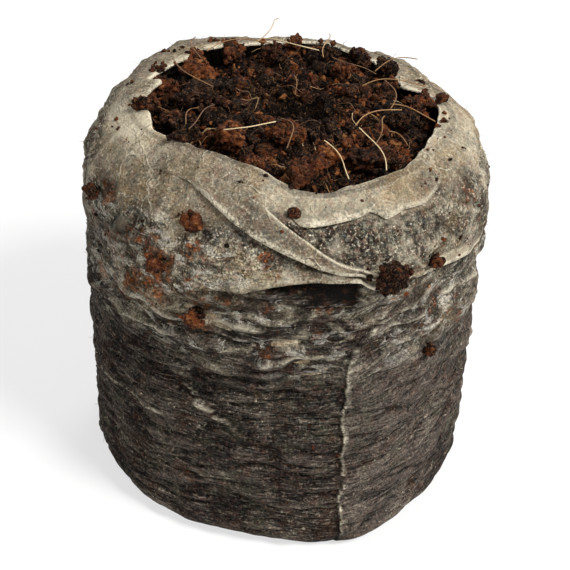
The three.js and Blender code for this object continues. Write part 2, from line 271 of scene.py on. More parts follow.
def makeFleece():
    look = fleeceLook
    f = Finish("wet_fleece", look)
    cloth = f.node("ShaderNodeUVMap", {"uv_map": "cloth"})
    tone, crimp, edge, cream, lap, gloom, stain, high = (f.attribute(name) for name in clothMarks)
    grain = f.cloud(f.spot, 4200, 2, 0.6)
    broad = f.cloud(f.spot, 130, 2, 0.5)
    patches = f.cloud(f.spot, 190, 4, 0.62)
    blots = f.cloud(f.spot, 430, 4, 0.62, 0.5)
    pits = f.cloud(f.spot, 1300, 4, 0.7)
    rust = f.ease(f.cloud(f.spot, 310, 4, 0.62) + stain * 0.16, 0.6, 0.7)
    hue = f.cloud(f.spot, 280, 3, 0.6)
    speck = f.cloud(f.spot, 3200, 1, 0.5)
    bright = f.ease(speck, 0.56, 0.68) * f.ease(pits, 0.4, 0.6)
    dim = f.fade(speck, 0.36, 0.46) * (1 - f.ease(blots, 0.44, 0.62) * 0.7)
    tinge = f.cloud(f.spot, 1500, 3, 0.65)
    fleck = f.cloud(f.spot, 4600, 2, 0.7)
    # painted glints: white specks of light on the wet fleece
    paintedGlints = f.ease(f.cloud(f.spot, 2600, 2, 0.6), 0.63, 0.7)
    streak = f.cloud(f.stretch(cloth, 240, 2300, 1), 1, 4, 0.62)
    fine = f.cloud(f.stretch(cloth, 900, 7000, 1), 1, 2, 0.6)
    threads = f.hair(f.stretch(cloth, 300, 2200, 1), 1, 0.03, 1.4)
    weave = f.cloud(f.stretch(cloth, 620, 4600, 1), 1, 3, 0.7)
    shreds = f.cloud(f.stretch(cloth, 380, 760, 1), 1, 5, 0.72, 0.9)
    lumps = f.cloud(f.stretch(cloth, 230, 430, 1), 1, 5, 0.66, 0.7)
    rusty = f.blend(f.ease(pits, 0.46, 0.58), look["brown"], look["rust"])

    # The wall: near black in the creases, wet coir with painted shade, and paler on the pleats' tops as a
    # painted highlight, with paler threads across it
    height = crimp * 0.75 + streak * 0.55
    wall = f.coat(
        look["valley"],
        (f.ease(height, 0.36, 0.66), "wet"),
        (f.ease(height, 0.62, 0.95), "crest"),
        (lap * f.ease(height, 0.3, 0.6) * 0.6, "lapped"),
        (f.ease(patches, 0.48, 0.68) * f.ease(streak, 0.42, 0.6) * 0.4, "thread"),
        (threads * f.ease(patches, 0.42, 0.6) * 0.45, "thread"),
        (f.ease(hue, 0.52, 0.66) * 0.45, "brown"),
        (f.fade(hue, 0.34, 0.46) * 0.3, "olive"),
        (f.ease(weave, 0.54, 0.68) * 0.5, "thread"),
        (f.fade(weave, 0.37, 0.48) * 0.75, "gap"),
        (bright * 0.35, "thread"),
        (dim * 0.4, "gap"),
        # Below the collar it lies in paler lumps, with wet coir showing in the pockets
        (high * f.ease(lumps, 0.51, 0.64) * 0.7, "light"),
        (high * f.fade(lumps, 0.39, 0.48) * 0.9, "pressed"),
        (high * f.ease(pits, 0.54, 0.6) * 0.6, "pressed"),
        (high * f.ease(shreds, 0.54, 0.6) * 0.5, "chalk"),
        (rust * (0.15 + high * 0.5) * f.ease(fleck, 0.3, 0.5), rusty),
        # painted glints on the wall
        (paintedGlints * f.ease(patches, 0.44, 0.64) * 0.4, "edge"),
    )

    # The collar: pale where it stands off the coir, dark where it lies on it
    lie = blots + (broad - 0.5) * 0.6
    collar = f.coat(
        look["shade"],
        (f.ease(lie, 0.42, 0.54), "mottle"),
        (f.ease(lie, 0.51, 0.65) * 0.9, "light"),
        (f.ease(hue, 0.52, 0.66) * 0.35, "tan"),
        (f.fade(hue, 0.36, 0.48) * 0.35, "olive"),
        (f.ease(pits, 0.53, 0.61) * 0.85, "pressed"),
        (f.fade(pits, 0.38, 0.46) * 0.5, "light"),
        (rust * (0.2 + stain * 0.6) * f.ease(fleck, 0.34, 0.54), rusty),
    )

    # Where it is doubled it is smooth, with a net of pale creases
    drift = f.node("ShaderNodeTexNoise", {}, {"Vector": f.spot, "Scale": 420, "Detail": 2}, 1)
    bent = f.node("ShaderNodeVectorMath", {}, {0: f.spot, 1: f.stretch(drift, 0.0035, 0.0035, 0.0035)})
    folds = {"Vector": bent, "Scale": 210, "Randomness": 1}
    net = f.node("ShaderNodeTexVoronoi", {"feature": "DISTANCE_TO_EDGE"}, folds)
    creases = f.fade(net, 0, 0.04) * f.ease(patches, 0.46, 0.6)
    smooth = f.coat(
        look["window"],
        (f.ease(cream, 0.35, 0.9), "cream"),
        (f.ease(net, 0.04, 0.2) * f.fade(cream, 0.5, 0.8) * 0.55, "veil"),
        (f.fade(lie, 0.36, 0.56) * 0.5, "mottle"),
        (f.ease(patches, 0.52, 0.66) * 0.4, "tan"),
        (f.ease(pits, 0.52, 0.62) * (cream * 0.7 - 0.1), "edge"),
    )
    collar = f.coat(
        collar,
        (f.ease(cream, 0, 0.42) * 0.85, smooth),
        (creases * (0.4 + cream * 0.4), "edge"),
        (f.hair(f.spot, 1300, 0.03, 0.9) * 0.2, "edge"),
        (bright * (0.75 - cream * 0.75), "edge"),
        (dim * (0.6 - cream * 0.55), "pressed"),
        # painted glints on the collar
        (paintedGlints * f.ease(lie, 0.44, 0.6) * (0.75 - cream * 0.6), "edge"),
        (f.ease(broad, 0.5, 0.64) * 0.3, "tan"),
    )

    # Where the collar runs into the wall there are tufts of bare fleece and pockets of wet coir
    wild = high * tone
    colour = f.coat(
        wall,
        (tone, collar),
        (wild * f.ease(shreds, 0.52, 0.57) * 0.85, "chalk"),
        (wild * f.fade(shreds, 0.44, 0.49) * 0.95, "pressed"),
        (wild * rust * f.ease(pits, 0.4, 0.5), rusty),
        (f.ease(tinge, 0.52, 0.64) * (0.15 + 0.25 * tone), "blush"),
        (f.fade(tinge, 0.36, 0.48) * (0.12 + 0.3 * tone), "slate"),
    )

    # The fibres' fine grain, the painted highlight along the bright edges, and the painted shade under the
    # folds and in the slit together with the wet coir's dark
    grainy = (fleck - 0.5) * (3.2 + tone * 1.6 - cream ** 0.6 * 3.5) + (fine - 0.5) * (1.6 - tone * 1.4) + 1
    dark = f.blend(f.ease(pits, 0.5, 0.64) * 0.6, look["gap"], look["brown"])
    colour = f.coat(
        f.node("ShaderNodeVectorMath", {"operation": "SCALE"}, {0: colour, "Scale": grainy}),
        (edge * f.ease(grain + blots, 0.75, 1.1), "edge"),
        (gloom * 0.96, dark),
    )
    bumps = (streak + weave * 0.6) * (1 - tone) + fine * 0.4 + creases * tone * 0.4
    bumps = bumps + grain * 0.25 + speck * 0.3 + (blots + pits * 0.5) * tone * (1 - cream * 0.6)
    bumps = bumps + lumps * high + shreds * wild
    return f.surface(colour, 0.75 - 0.1 * cream, 0.07, bumps, 0.9, 0.0005)


coirLook = {
    "stops": [
        (0.0, paint(5, 3, 2)),
        (0.3, paint(24, 13, 8)),
        (0.52, paint(60, 30, 17)),
        (0.76, paint(102, 53, 24)),
        (1.0, paint(150, 100, 58)),
    ],
    # glint is a painted highlight colour; pore is near black, painted shade between the grains with the
    # coir's own dark pores
    "hair": paint(176, 128, 84),
    "glint": paint(158, 116, 92),
    "pore": paint(5, 3, 2),
}


def makeCoir(name):
    f = Finish(name, coirLook)
    grain = f.cloud(f.spot, 1300, 4, 0.7)
    crumbs = f.cloud(f.spot, 480, 3, 0.6)
    shade = f.attribute("tint") + (grain - 0.5) * 0.9 + (crumbs - 0.5) * 0.6
    # painted glints: the wet crumbs' highlights laid into the colour, where they are also smoother
    glint = f.ease(f.cloud(f.spot, 2600, 2, 0.6), 0.58, 0.68)
    colour = f.coat(
        f.node("ShaderNodeValToRGB", {"stops": coirLook["stops"]}, {"Fac": shade}),
        (f.hair(f.spot, 1700, 0.03) * 0.25, "hair"),
        (glint * 0.2, "glint"),
        (f.fade(grain, 0.38, 0.47) * 0.7, "pore"),
    )
    return f.surface(colour, 1 - 0.4 * glint, 0.12, grain + crumbs * 0.6 + glint * 0.3, 1.0, 0.0004)


def makeHair(name, stops):
    f = Finish(name)
    along = f.cloud(f.spot, 700, 2, 0.5)
    shade = f.attribute("tint") + (along - 0.5) * 0.6
    colour = f.node("ShaderNodeValToRGB", {"stops": stops}, {"Fac": shade})
    return f.surface(colour, 0.55 + 0.2 * along, 0.5, along, 0.3, 0.00005)


fleece = makeFleece()
coir = makeCoir("moist_coir")
husk = makeCoir("coir_husk")
hair = makeHair("coir_hair", [
    (0, paint(70, 40, 20)), (0.5, paint(150, 110, 64)), (1, paint(212, 190, 148)),
])
fuzz = makeHair("fleece_fray", [(0, paint(150, 138, 118)), (1, paint(214, 206, 184))])
report("materials made")


# Making pieces

def makePiece(name, bm, finish, replaced=()):
    mesh = bpy.data.meshes.new(name)
    bm.to_mesh(mesh)
    bm.free()
    mesh.materials.append(finish)
    mesh.shade_smooth()
    piece = bpy.data.objects.new(name, mesh)
    scene.collection.objects.link(piece)
    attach(piece, "root")
    if replaced:
        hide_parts(*replaced)
    return piece


def nodesNamed(start):
    return [node for node in sorted(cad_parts) if node.startswith(start)]


def pointsOf(node):  # in metres
    return [v.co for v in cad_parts[node].data.vertices]


def copyOf(node):
    bm = bmesh.new()
    bm.from_mesh(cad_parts[node].data)
    bmesh.ops.remove_doubles(bm, verts=bm.verts, dist=1e-6)
    return bm


def tinted():
    bm = bmesh.new()
    return bm, bm.verts.layers.float.new("tint")


def seal(bm, distance=1e-6):  # joins points that coincide and turns every face outward
    bmesh.ops.remove_doubles(bm, verts=bm.verts, dist=distance)
    bmesh.ops.recalc_face_normals(bm, faces=bm.faces)


# Fleece sleeve

sleeve = {
    "baseRadius": 20.5,
    "baseCorner": 2.6,
    "baseOpening": 8,
    "shoulderRadius": 20.7,
    "shoulderHeight": 31.2,
    "collarFullness": 0.6,  # how far up the collar stays as wide as the shoulder, over the front
    "sideFullness": 0.86,  # the same at the sides and the back
    "leftFullness": 0.72,
    "sideBulge": 0.3,
    "outOfRound": 0.35,
    "longAzimuth": 65,
    "keelDepth": 1.1,  # the stiff lap stands out at the base
    "keelSpread": 30,
    "keelHeight": 24,
    "innerLift": -0.55,
    "crimpDepth": 0.75,
    "crimpFoot": 0.32,  # how far the creases lie behind the smooth sleeve
    "slantFrom": 19,  # azimuths between which the folds right of the lap climb, and where that has gone
    "slantTo": 68,
    "slantGone": 160,
    "columns": 276,
    "wallRows": 210,
    "fabricWidth": 138,
    "fabricLength": 62,
    # the mouth's crown: azimuth, radius, height
    "rim": [
        (-180, 16.0, 42.4), (-168, 16.1, 42.4), (-156, 16.5, 42.6), (-144, 17.0, 42.9), (-132, 17.1, 42.9),
        (-120, 16.8, 42.8), (-106, 16.2, 42.7), (-92, 15.8, 42.6), (-80, 15.7, 42.6), (-70, 15.7, 42.6),
        (-60, 15.4, 42.6), (-50, 14.9, 42.6), (-40, 14.3, 42.8), (-28, 14.0, 42.9), (-14, 14.5, 42.6),
        (-8, 15.0, 42.2), (-3, 15.3, 41.6), (3, 15.8, 41.1), (12, 16.5, 40.9), (25, 16.3, 41.0),
        (40, 16.0, 41.2), (52, 15.9, 41.3), (62, 16.1, 41.7), (74, 16.4, 42.1), (86, 16.4, 42.2),
        (100, 15.8, 42.2), (118, 15.4, 42.3), (134, 16.2, 42.4), (145, 15.9, 42.4), (156, 15.8, 42.4),
        (166, 16.4, 42.4),
    ],
    # how far the edge is turned in past the crown, and how far it drops: azimuth, way, drop
    "edge": [
        (-180, 0.4, 0.1), (-166, 0.8, 0.1), (-157, 2.6, 0.3), (-146, 4.2, 0.6), (-132, 4.8, 0.8),
        (-120, 4.4, 0.7), (-112, 3.0, 0.4), (-103, 1.5, 0.2), (-94, 2.6, 0.3), (-84, 1.5, 0.2),
        (-70, 1.2, 0.1), (-60, 0.7, 0.1), (-48, 0.3, 0.1), (-20, 0.3, 0.1), (0, 0.2, 0.1),
        (40, 0.3, 0.1), (56, 0.5, 0.1), (74, 0.9, 0.1), (90, 0.6, 0.1), (100, 0.9, 0.1), (108, 2.3, 0.3),
        (120, 3.0, 0.5), (132, 3.1, 0.5), (143, 1.6, 0.3), (153, 0.4, 0.1), (165, 0.8, 0.1),
    ],
    # the collar's fold lines: azimuth, height, and how far the sheet stands out below and above the line
    "hem": [
        (-165, 30.2, 0.0, 0.35), (-150, 31.1, 0.0, 0.12), (-132, 30.3, 0.0, 0.3), (-110, 31.1, 0.0, 0.1),
        (-75, 30.2, 0.0, 0.0), (-45, 30.2, 0.0, 0.0),
        (-33, 30.8, 0.0, 0.0), (-24, 31.6, 0.0, 0.1), (-17, 32.2, -0.05, 0.2), (-10, 32.6, -0.15, 0.4),
        (-5, 33.4, -0.3, 0.6), (2, 34.1, -0.3, 0.7), (9, 34.3, -0.3, 0.75), (16, 34.1, -0.3, 0.8),
        (21, 33.8, -0.3, 0.8), (23.5, 33.0, -0.2, 0.7), (27, 32.6, -0.2, 0.6), (36, 33.0, -0.2, 0.55),
        (46, 32.9, -0.2, 0.55), (60, 32.1, -0.15, 0.5), (75, 31.7, -0.05, 0.35), (90, 31.4, 0.0, 0.25),
        (104, 30.6, 0.0, 0.3), (120, 31.5, 0.0, 0.08), (138, 30.3, 0.0, 0.35), (152, 30.9, 0.0, 0.25),
        (166, 29.9, 0.0, 0.05), (182, 30.8, 0.0, 0.3),
    ],
    "flap": [
        (-158, 34.5, 0.3, 0.75), (-140, 33.2, 0.3, 0.55), (-125, 33.6, 0.3, 0.3), (-60, 38.5, 0.3, 0.3),
        (-45, 40.7, 0.3, 0.35), (-32, 40.7, 0.3, 0.5), (-23, 40.0, 0.3, 0.8), (-17, 39.2, 0.3, 0.9),
        (-11, 38.3, 0.3, 0.95), (-4, 37.3, 0.3, 1.0), (3, 36.4, 0.3, 1.05), (9, 35.6, 0.35, 1.0),
        (16, 34.8, 0.45, 0.95), (21, 34.4, 0.55, 0.9), (26, 33.5, 0.55, 0.85), (29, 33.1, 0.5, 0.7),
        (32, 33.2, 0.4, 0.45), (60, 34.8, 0.35, 0.35), (110, 37.5, 0.3, 0.3), (145, 40.6, 0.25, 0.3),
        (165, 39.0, 0.25, 0.7), (182, 37.0, 0.3, 0.85),
    ],
    "band": [
        (-158, 37.5, 0.6, 0.5), (-125, 36.5, 0.3, 0.3), (-60, 40.2, 0.3, 0.3), (-45, 41.2, 0.35, 0.35),
        (-14, 40.9, 0.8, 0.8), (-7, 40.1, 0.9, 0.85), (1, 38.5, 1.05, 0.6), (7, 37.4, 1.1, 0.35),
        (11, 36.5, 1.1, 0.25), (16, 35.5, 1.1, 0.25), (21, 34.9, 1.05, 0.3), (26, 34.0, 1.0, 0.35),
        (29, 33.6, 0.9, 0.4), (32, 33.8, 0.5, 0.45), (60, 36.2, 0.3, 0.3), (110, 39.5, 0.3, 0.3),
        (145, 41.4, 0.3, 0.3), (182, 39.6, 0.7, 0.6),
    ],
    "cuff": [
        (-158, 40.2, 0.4, 0.5), (-125, 40.0, 0.3, 0.3), (-60, 41.2, 0.3, 0.3), (-45, 41.8, 0.35, 0.35),
        (-10, 41.3, 0.65, 0.65), (0, 39.7, 0.6, 0.65), (4.5, 38.7, 0.3, 0.5), (6, 38.7, 0.25, 0.85),
        (14, 39.0, 0.25, 0.8), (22, 39.2, 0.25, 0.75), (26, 39.4, 0.3, 0.6), (28.5, 39.0, 0.3, 0.6),
        (30.5, 38.6, 0.25, 0.65), (37, 38.9, 0.25, 0.6), (45, 38.7, 0.25, 0.55), (52, 39.2, 0.25, 0.5),
        (58, 39.9, 0.3, 0.35),
        (75, 40.6, 0.3, 0.3), (110, 41.0, 0.3, 0.35), (145, 41.9, 0.3, 0.3), (182, 41.2, 0.5, 0.5),
    ],
    "slit": [(-5, 33.1), (-1, 32.7), (4, 32.4), (9, 31.9), (14, 31.3), (18, 30.9), (20, 31.2), (22, 32.6)],
    # the lapped edge's run down the wall: height, azimuth
    "lapEdge": [
        (0, 19.0), (3.1, 19.2), (7, 18.2), (9.7, 19.3), (12.5, 18.5), (15.2, 19.3), (17.4, 18.5),
        (20.2, 19.0), (23, 18.6), (24.9, 20.0), (27.1, 22.6), (28.9, 27.0), (31, 28.5),
    ],
    "lapAzimuth": 20.5,
    "lapFoot": 3,
    "lapSpread": 24,
    "lapWidth": 8,
    "lapLift": 0.27,
    # long creases: azimuth and height of the two ends, how far it stands out, half width
    "creases": [
        (-66, 14.7, -34, 15.2, 0.4, 0.45), (-28, 19.9, -21.5, 17.8, 0.4, 0.35),
        (-21.5, 17.8, -11, 15.5, 0.35, 0.35), (-23.5, 18.1, -20, 17.4, 0.7, 0.9),
        (21.3, 32.5, 23.6, 30.8, 0.5, 0.4), (23.6, 30.8, 28.1, 32.4, 0.5, 0.45),
        (26.1, 28.5, 44.4, 30.7, 0.45, 0.4), (30, 27.2, 40, 28.6, 0.3, 0.4),
        (-54, 24.6, -28, 26.2, 0.45, 0.6), (-42, 20.9, -22, 22.5, 0.22, 0.4),
        (-24, 9.1, -18, 8.6, 0.3, 0.5), (-64, 9.4, -50, 10.3, 0.25, 0.35), (-3, 6.1, 24, 6.6, 0.25, 0.4),
        (22, 22.4, 31, 22.9, 0.3, 0.4), (-6, 24.4, 12, 25.4, 0.35, 0.6),
        (-24, 27.9, -4, 28.6, 0.45, 0.7), (-50, 28.4, -30, 27.6, 0.4, 0.6),
        (24, 27.2, 42, 28.3, 0.4, 0.6), (30, 25.0, 52, 26.4, 0.3, 0.5), (48, 28.8, 70, 28.0, 0.4, 0.6),
        (70, 18.0, 112, 14.5, 0.35, 0.45), (118, 24.5, 150, 22.0, 0.3, 0.5),
        (160, 12.0, 200, 15.5, 0.35, 0.45), (212, 20.0, 240, 23.0, 0.3, 0.45),
        (236, 10.0, 262, 8.0, 0.3, 0.4), (100, 7.5, 130, 9.5, 0.3, 0.4),
        (-17.5, 42.0, -17.7, 39.3, 0.35, 0.3), (-16, 41.9, -10.3, 40.9, 0.3, 0.35),
        (-42.7, 41.3, -30, 39.6, 0.25, 0.35), (-44, 38.6, -30, 36.4, 0.3, 0.5),
        (-62, 36.5, -44, 34.4, 0.35, 0.6), (-30, 34.6, -14, 35.6, 0.3, 0.5),
        (-12, 34.2, 2, 35.0, 0.25, 0.45), (34, 36.4, 50, 35.2, 0.3, 0.5),
        (52, 37.6, 66, 35.6, 0.35, 0.5), (66, 39.6, 80, 37.4, 0.35, 0.6), (84, 40.0, 92, 35.0, 0.3, 0.6),
        (-84, 40.2, -72, 37.0, 0.35, 0.6), (-98, 36.6, -78, 34.6, 0.3, 0.6),
        (110, 39.5, 122, 35.4, 0.35, 0.6), (138, 37.0, 158, 39.4, 0.35, 0.6),
        (182, 40.6, 196, 36.4, 0.35, 0.6), (-150, 38.8, -132, 36.2, 0.3, 0.6),
        (-126, 40.4, -112, 37.0, 0.35, 0.6),
    ],
    # spots where the coir shows through: azimuth, height, radius, how rusty, how wet
    "marks": [
        (-34.1, 33.1, 2.0, 1.6, 0.3), (-38.4, 35.2, 1.6, 1.5, 0.3), (-22.4, 29.1, 2.0, 1.4, 0.2),
        (-60.2, 37.2, 1.8, 1.6, 0.5), (-50.2, 34.4, 2.4, 0.6, 0.9), (-4.9, 35.9, 0.9, 2.0, 0.0),
        (-22.1, 36.9, 1.2, 0.3, 0.8), (49.3, 36.1, 1.3, 0.8, 0.9), (37.5, 30.6, 2.2, 0.1, 0.8),
        (-44.0, 29.5, 2.0, 1.2, 0.4), (62.0, 38.0, 1.6, 1.2, 0.3), (72.0, 35.5, 2.0, 0.9, 0.5),
        (-15.0, 31.0, 2.0, 0.7, 0.85), (-6.0, 31.9, 1.6, 0.4, 0.9), (4.0, 30.6, 1.5, 0.5, 0.7),
        (14, 29.6, 1.4, 0.4, 0.7), (58.0, 26.5, 1.6, 1.2, 0.3), (12.0, 28.2, 1.4, 1.0, 0.4),
        (120, 35.0, 2.2, 1.2, 0.4), (158, 33.6, 2.4, 1.4, 0.3), (-170, 38.4, 2.0, 1.1, 0.5),
        (-142, 36.8, 2.2, 1.3, 0.3), (-112, 34.2, 2.4, 1.2, 0.6), (-88, 38.4, 2.0, 1.3, 0.4),
    ],
}
perDegree = math.radians(sleeve["shoulderRadius"])  # millimetres along the wall


def rimAt(azimuth):  # the crown's radius and height
    return around(sleeve["rim"], azimuth)


def fairSection(azimuth, run, share):
    # radius, height and outward direction of the smooth sleeve; on the side, share is the height itself
    s = sleeve
    oval = s["outOfRound"] * math.cos(math.radians(2 * (azimuth - s["longAzimuth"])))
    foot, shoulder, corner = s["baseRadius"] + oval, s["shoulderRadius"] + oval, s["baseCorner"]
    if run == "base":
        return mix(s["baseOpening"], foot - corner, share), 0, 0, -1
    if run == "corner":
        angle = math.radians(mix(-90, 0, share))
        out, up = math.cos(angle), math.sin(angle)
        return foot - corner + corner * out, corner + corner * up, out, up
    if share <= s["shoulderHeight"]:
        return mix(foot, shoulder, (share - corner) / (s["shoulderHeight"] - corner)), share, 1, 0
    mouth, rim = rimAt(azimuth)
    rise = min(1, (share - s["shoulderHeight"]) / (rim - s["shoulderHeight"]))
    side = ease(abs(turnFrom(0, azimuth)), 45, 80)
    beside = mix(s["sideFullness"], s["leftFullness"], hump(azimuth, -80, 55))
    full = 2 * mix(s["collarFullness"], beside, side)
    bulge = s["sideBulge"] * side
    t = (full - math.sqrt(full * full - 4 * (full - 1) * rise)) / (2 * (full - 1))
    inward = 2 * t * (shoulder - mouth) - 2 * (1 - 2 * t) * bulge
    up = (rim - s["shoulderHeight"]) * (full - 2 * (full - 1) * t)
    length = math.hypot(inward, up)
    radius = shoulder + 2 * t * (1 - t) * bulge - t * t * (shoulder - mouth)
    return radius, share, up / length, inward / length


def sheetPoint(azimuth, run, share, lift):
    s = sleeve
    radius, height, out, up = fairSection(azimuth, run, share)
    keel = s["keelDepth"] * hump(azimuth, s["lapAzimuth"], s["keelSpread"])
    keel *= fade(height, 0, s["keelHeight"])
    keel *= ease(radius, s["baseOpening"], s["baseRadius"] - s["baseCorner"])
    return place(azimuth, radius + out * lift + keel, height + up * lift)


def edgeAt(azimuth):  # the way the edge is turned in, with its raggedness, and its drop
    inward, drop = around(sleeve["edge"], azimuth)
    ragged = ripple(*circle(azimuth, 4), 1.3) + 0.5 * ripple(*circle(azimuth, 11), 2.3)
    return inward * (1 + 0.5 * ragged) + 0.25 * ragged, drop


def mouthPoint(azimuth, share, lift):  # on the part that is turned in, from the crown to the edge
    radius, height, out, up = fairSection(azimuth, "side", rimAt(azimuth)[1])
    inward, drop = edgeAt(azimuth)
    slide = share * inward
    x, y = circle(azimuth, radius)
    lift += 0.3 * share * ripple(x / 2.4, y / 2.4, slide / 2.4 + 6)
    radius = radius - up * slide + out * lift
    height = height + out * slide + up * lift - drop * share * share
    return place(azimuth, radius, height)


def lapEdgeAt(height):
    before = sleeve["lapEdge"][0]
    for after in sleeve["lapEdge"]:
        if height <= after[0]:
            break
        before = after
    share = (height - before[0]) / max(0.001, after[0] - before[0])
    return mix(before[1], after[1], min(1, share)) + 0.6 * ripple(7.7, 2.1, height / 0.6)


def slantAt(azimuth, height):  # right of the lap, the folds below the collar climb towards the right
    s = sleeve
    turn = turnFrom(0, azimuth)
    steep = 0.14 + 0.2 * ease(height, 15, 29)
    way = max(0, min(turn, s["slantTo"]) - s["slantFrom"])
    return steep * way * 0.36 * fade(turn, s["slantTo"], s["slantGone"])


def crimpAt(azimuth, height):  # 0 in a crease, 1 on the top of a pleat
    x, y = circle(azimuth, sleeve["shoulderRadius"])
    height -= slantAt(azimuth, height)
    warp = height + 1.6 * ripple(x / 9, y / 9, height / 7) + 0.5 * ripple(x / 3, y / 3, height / 3 + 9)
    broad = abs(ripple(x / 7, y / 7, warp / 1.4))
    fine = abs(ripple(x / 3.4 + 31, y / 3.4, warp / 0.55))
    return min(1, 2.1 * broad) * 0.65 + min(1, 2.2 * fine) * 0.35


def creaseAt(azimuth, height):  # how far the nearest long crease stands out here
    most = 0
    for start, low, end, high, lift, width in sleeve["creases"]:
        x, y = turnFrom(start, azimuth) * perDegree, height - low
        run, rise = (end - start) * perDegree, high - low
        length = math.hypot(run, rise)
        along = (x * run + y * rise) / length
        if -0.5 < along < length + 0.5:
            side = abs((x * rise - y * run) / length + 0.5 * ripple(along / 1.7, low, 3.3)) / width
            if side < 1:
                taper = min(1, (along + 0.5) / 1.2, (length + 0.5 - along) / 1.2)
                most = max(most, lift * taper * (1 - side) ** 1.3)
    return most


def collarLump(x, y, height):
    return ripple(x / 2.9, y / 2.9, height / 2.6) + 0.5 * ripple(x / 1.4, y / 1.4, height / 1.3)


def marksAt(azimuth, height):  # how much rust from the coir shows, and how wet it is
    low = ease(height, 25, 29) * fade(height, 34, 37)
    rust, wet = low * max(hump(azimuth, -36, 34), 0.7 * hump(azimuth, 150, 40)), 0
    for centre, level, radius, red, dark in sleeve["marks"]:
        x, y = turnFrom(centre, azimuth) * perDegree, height - level
        if max(abs(x), abs(y)) < 2 * radius:
            far = math.hypot(x, y) / radius + 1.1 * ripple(x / 0.8 + centre, y / 0.8, 3.1)
            near = fade(far, 0.4, 1.1)
            rust, wet = max(rust, red * near), max(wet, dark * near)
    return rust, wet


def slitFloor(azimuth):
    stops = sleeve["slit"]
    azimuth = turnFrom(0, azimuth)
    if not stops[0][0] < azimuth < stops[-1][0]:
        return None
    for before, after in zip(stops, stops[1:]):
        if azimuth <= after[0]:
            return mix(before[1], after[1], (azimuth - before[0]) / (after[0] - before[0]))


@functools.lru_cache(maxsize=None)
def foldLines(azimuth):
    rim = rimAt(azimuth)[1]
    lines = [around(sleeve[name], azimuth) for name in ("hem", "flap", "band", "cuff")]
    for lower, upper, gap in zip(lines, lines[1:], (0.5, 0.35, 0.35)):
        upper[0] = max(upper[0], lower[0] + gap)
    lines[3][0] = min(lines[3][0], rim - 0.45)
    lines[2][0] = min(lines[2][0], lines[3][0] - 0.3)
    lines[1][0] = min(lines[1][0], lines[2][0] - 0.3)
    return lines, rim


# The sleeve's rows, from the base opening out and up to the mouth, and back down inside.
# Each is (kind, values); a fold line takes six rows that tuck under it and come out over it.
def sleeveRows():
    rows = [("base", i / 8) for i in range(8)]
    rows += [("corner", i / 8) for i in range(8)]
    rows += [("wall", i / sleeve["wallRows"]) for i in range(sleeve["wallRows"])]
    for line, between in ((0, 9), (1, 9), (2, 8), (3, 9)):
        rows += [("fold", line, step) for step in range(6)]
        rows += [("face", line, (i + 1) / (between + 1)) for i in range(between)]
    rows += [("turnIn", i / 7) for i in range(8)] + [("lip", 0), ("lip", 1)]
    rows += [("turnUnder", share) for share in (0.95, 0.6, 0.3, 0)]
    rows += [("inside", share) for share in (0.9, 0.75, 0.5, 0.25, 0.0)]
    rows += [("inWall", share) for share in (0.9, 0.6, 0.3, 0.0)]
    rows += [("inBase", share) for share in (1, 0.5, 0)]
    return rows


def foldRow(line, step):  # height beside the line, lift, and how bright the edge is: a painted highlight where the cloth turns over the fold
    height, below, above = line
    rise = above - below
    over = min(1, max(0, rise / 0.5))
    if rise < 0:
        offsets = [(-0.16, below), (-0.06, below + 0.05), (0, below), (0.03, mix(below, above, 0.5)),
                   (0.08, above), (0.16, above)]
        glow = [0.3, 1, 1, 0.3, 0, 0]
        down = min(1, -rise / 0.3)
    else:
        offsets = [(-0.1, below), (0.45 * over, below), (0.4 * over + 0.03, mix(below, above, 0.35)),
                   (-0.25 * over + 0.05, above - 0.3 * over), (-0.3 * over + 0.07, above - 0.06 * over),
                   (0.1, above)]
        glow = [0, 0, 0, 0.4, 1, 0.8]
        down = over
    offset, lift = offsets[step]
    return height + offset, lift, glow[step] * down


def lapLift(azimuth, height):  # 0 beside the lap, and the fleece's thickness on it
    s = sleeve
    along = math.radians(turnFrom(lapEdgeAt(height), azimuth)) * s["shoulderRadius"]
    if along < -20:
        return 0, along
    return s["lapLift"] * ease(along, -0.1, 0.06) * fade(along, s["lapWidth"], s["lapWidth"] + 3), along


# Each of these gives a point's place, its height on the flat cloth and its marks for the material. The flat
# cloth has 12 mm that lie under the base and 4 mm round its corner; its height is 0 where the wall begins.

def baseVertex(azimuth, share):
    x, y = circle(azimuth, sleeve["shoulderRadius"])
    tuck = 0.3 * max(0, ripple(x / 5, y / 5, 2.2)) + 0.12 * max(0, math.sin(azimuth / 3.1))
    lift = -tuck * ease(share, -0.2, 0.5) * (1 - share)
    return sheetPoint(azimuth, "base", share, lift), 12 * share - 16, dict(tone=0.2, crimp=0.5)


def cornerVertex(azimuth, share):
    height = sleeve["baseCorner"] * share
    lift, along = lapLift(azimuth, height)
    crimp = crimpAt(azimuth, height)
    look = dict(tone=0, crimp=crimp, lap=ease(along, 0, 0.2) * fade(along, 6, 16))
    return sheetPoint(azimuth, "corner", share, (lift + 0.6 * crimp - 0.25) * share), 4 * share - 4, look


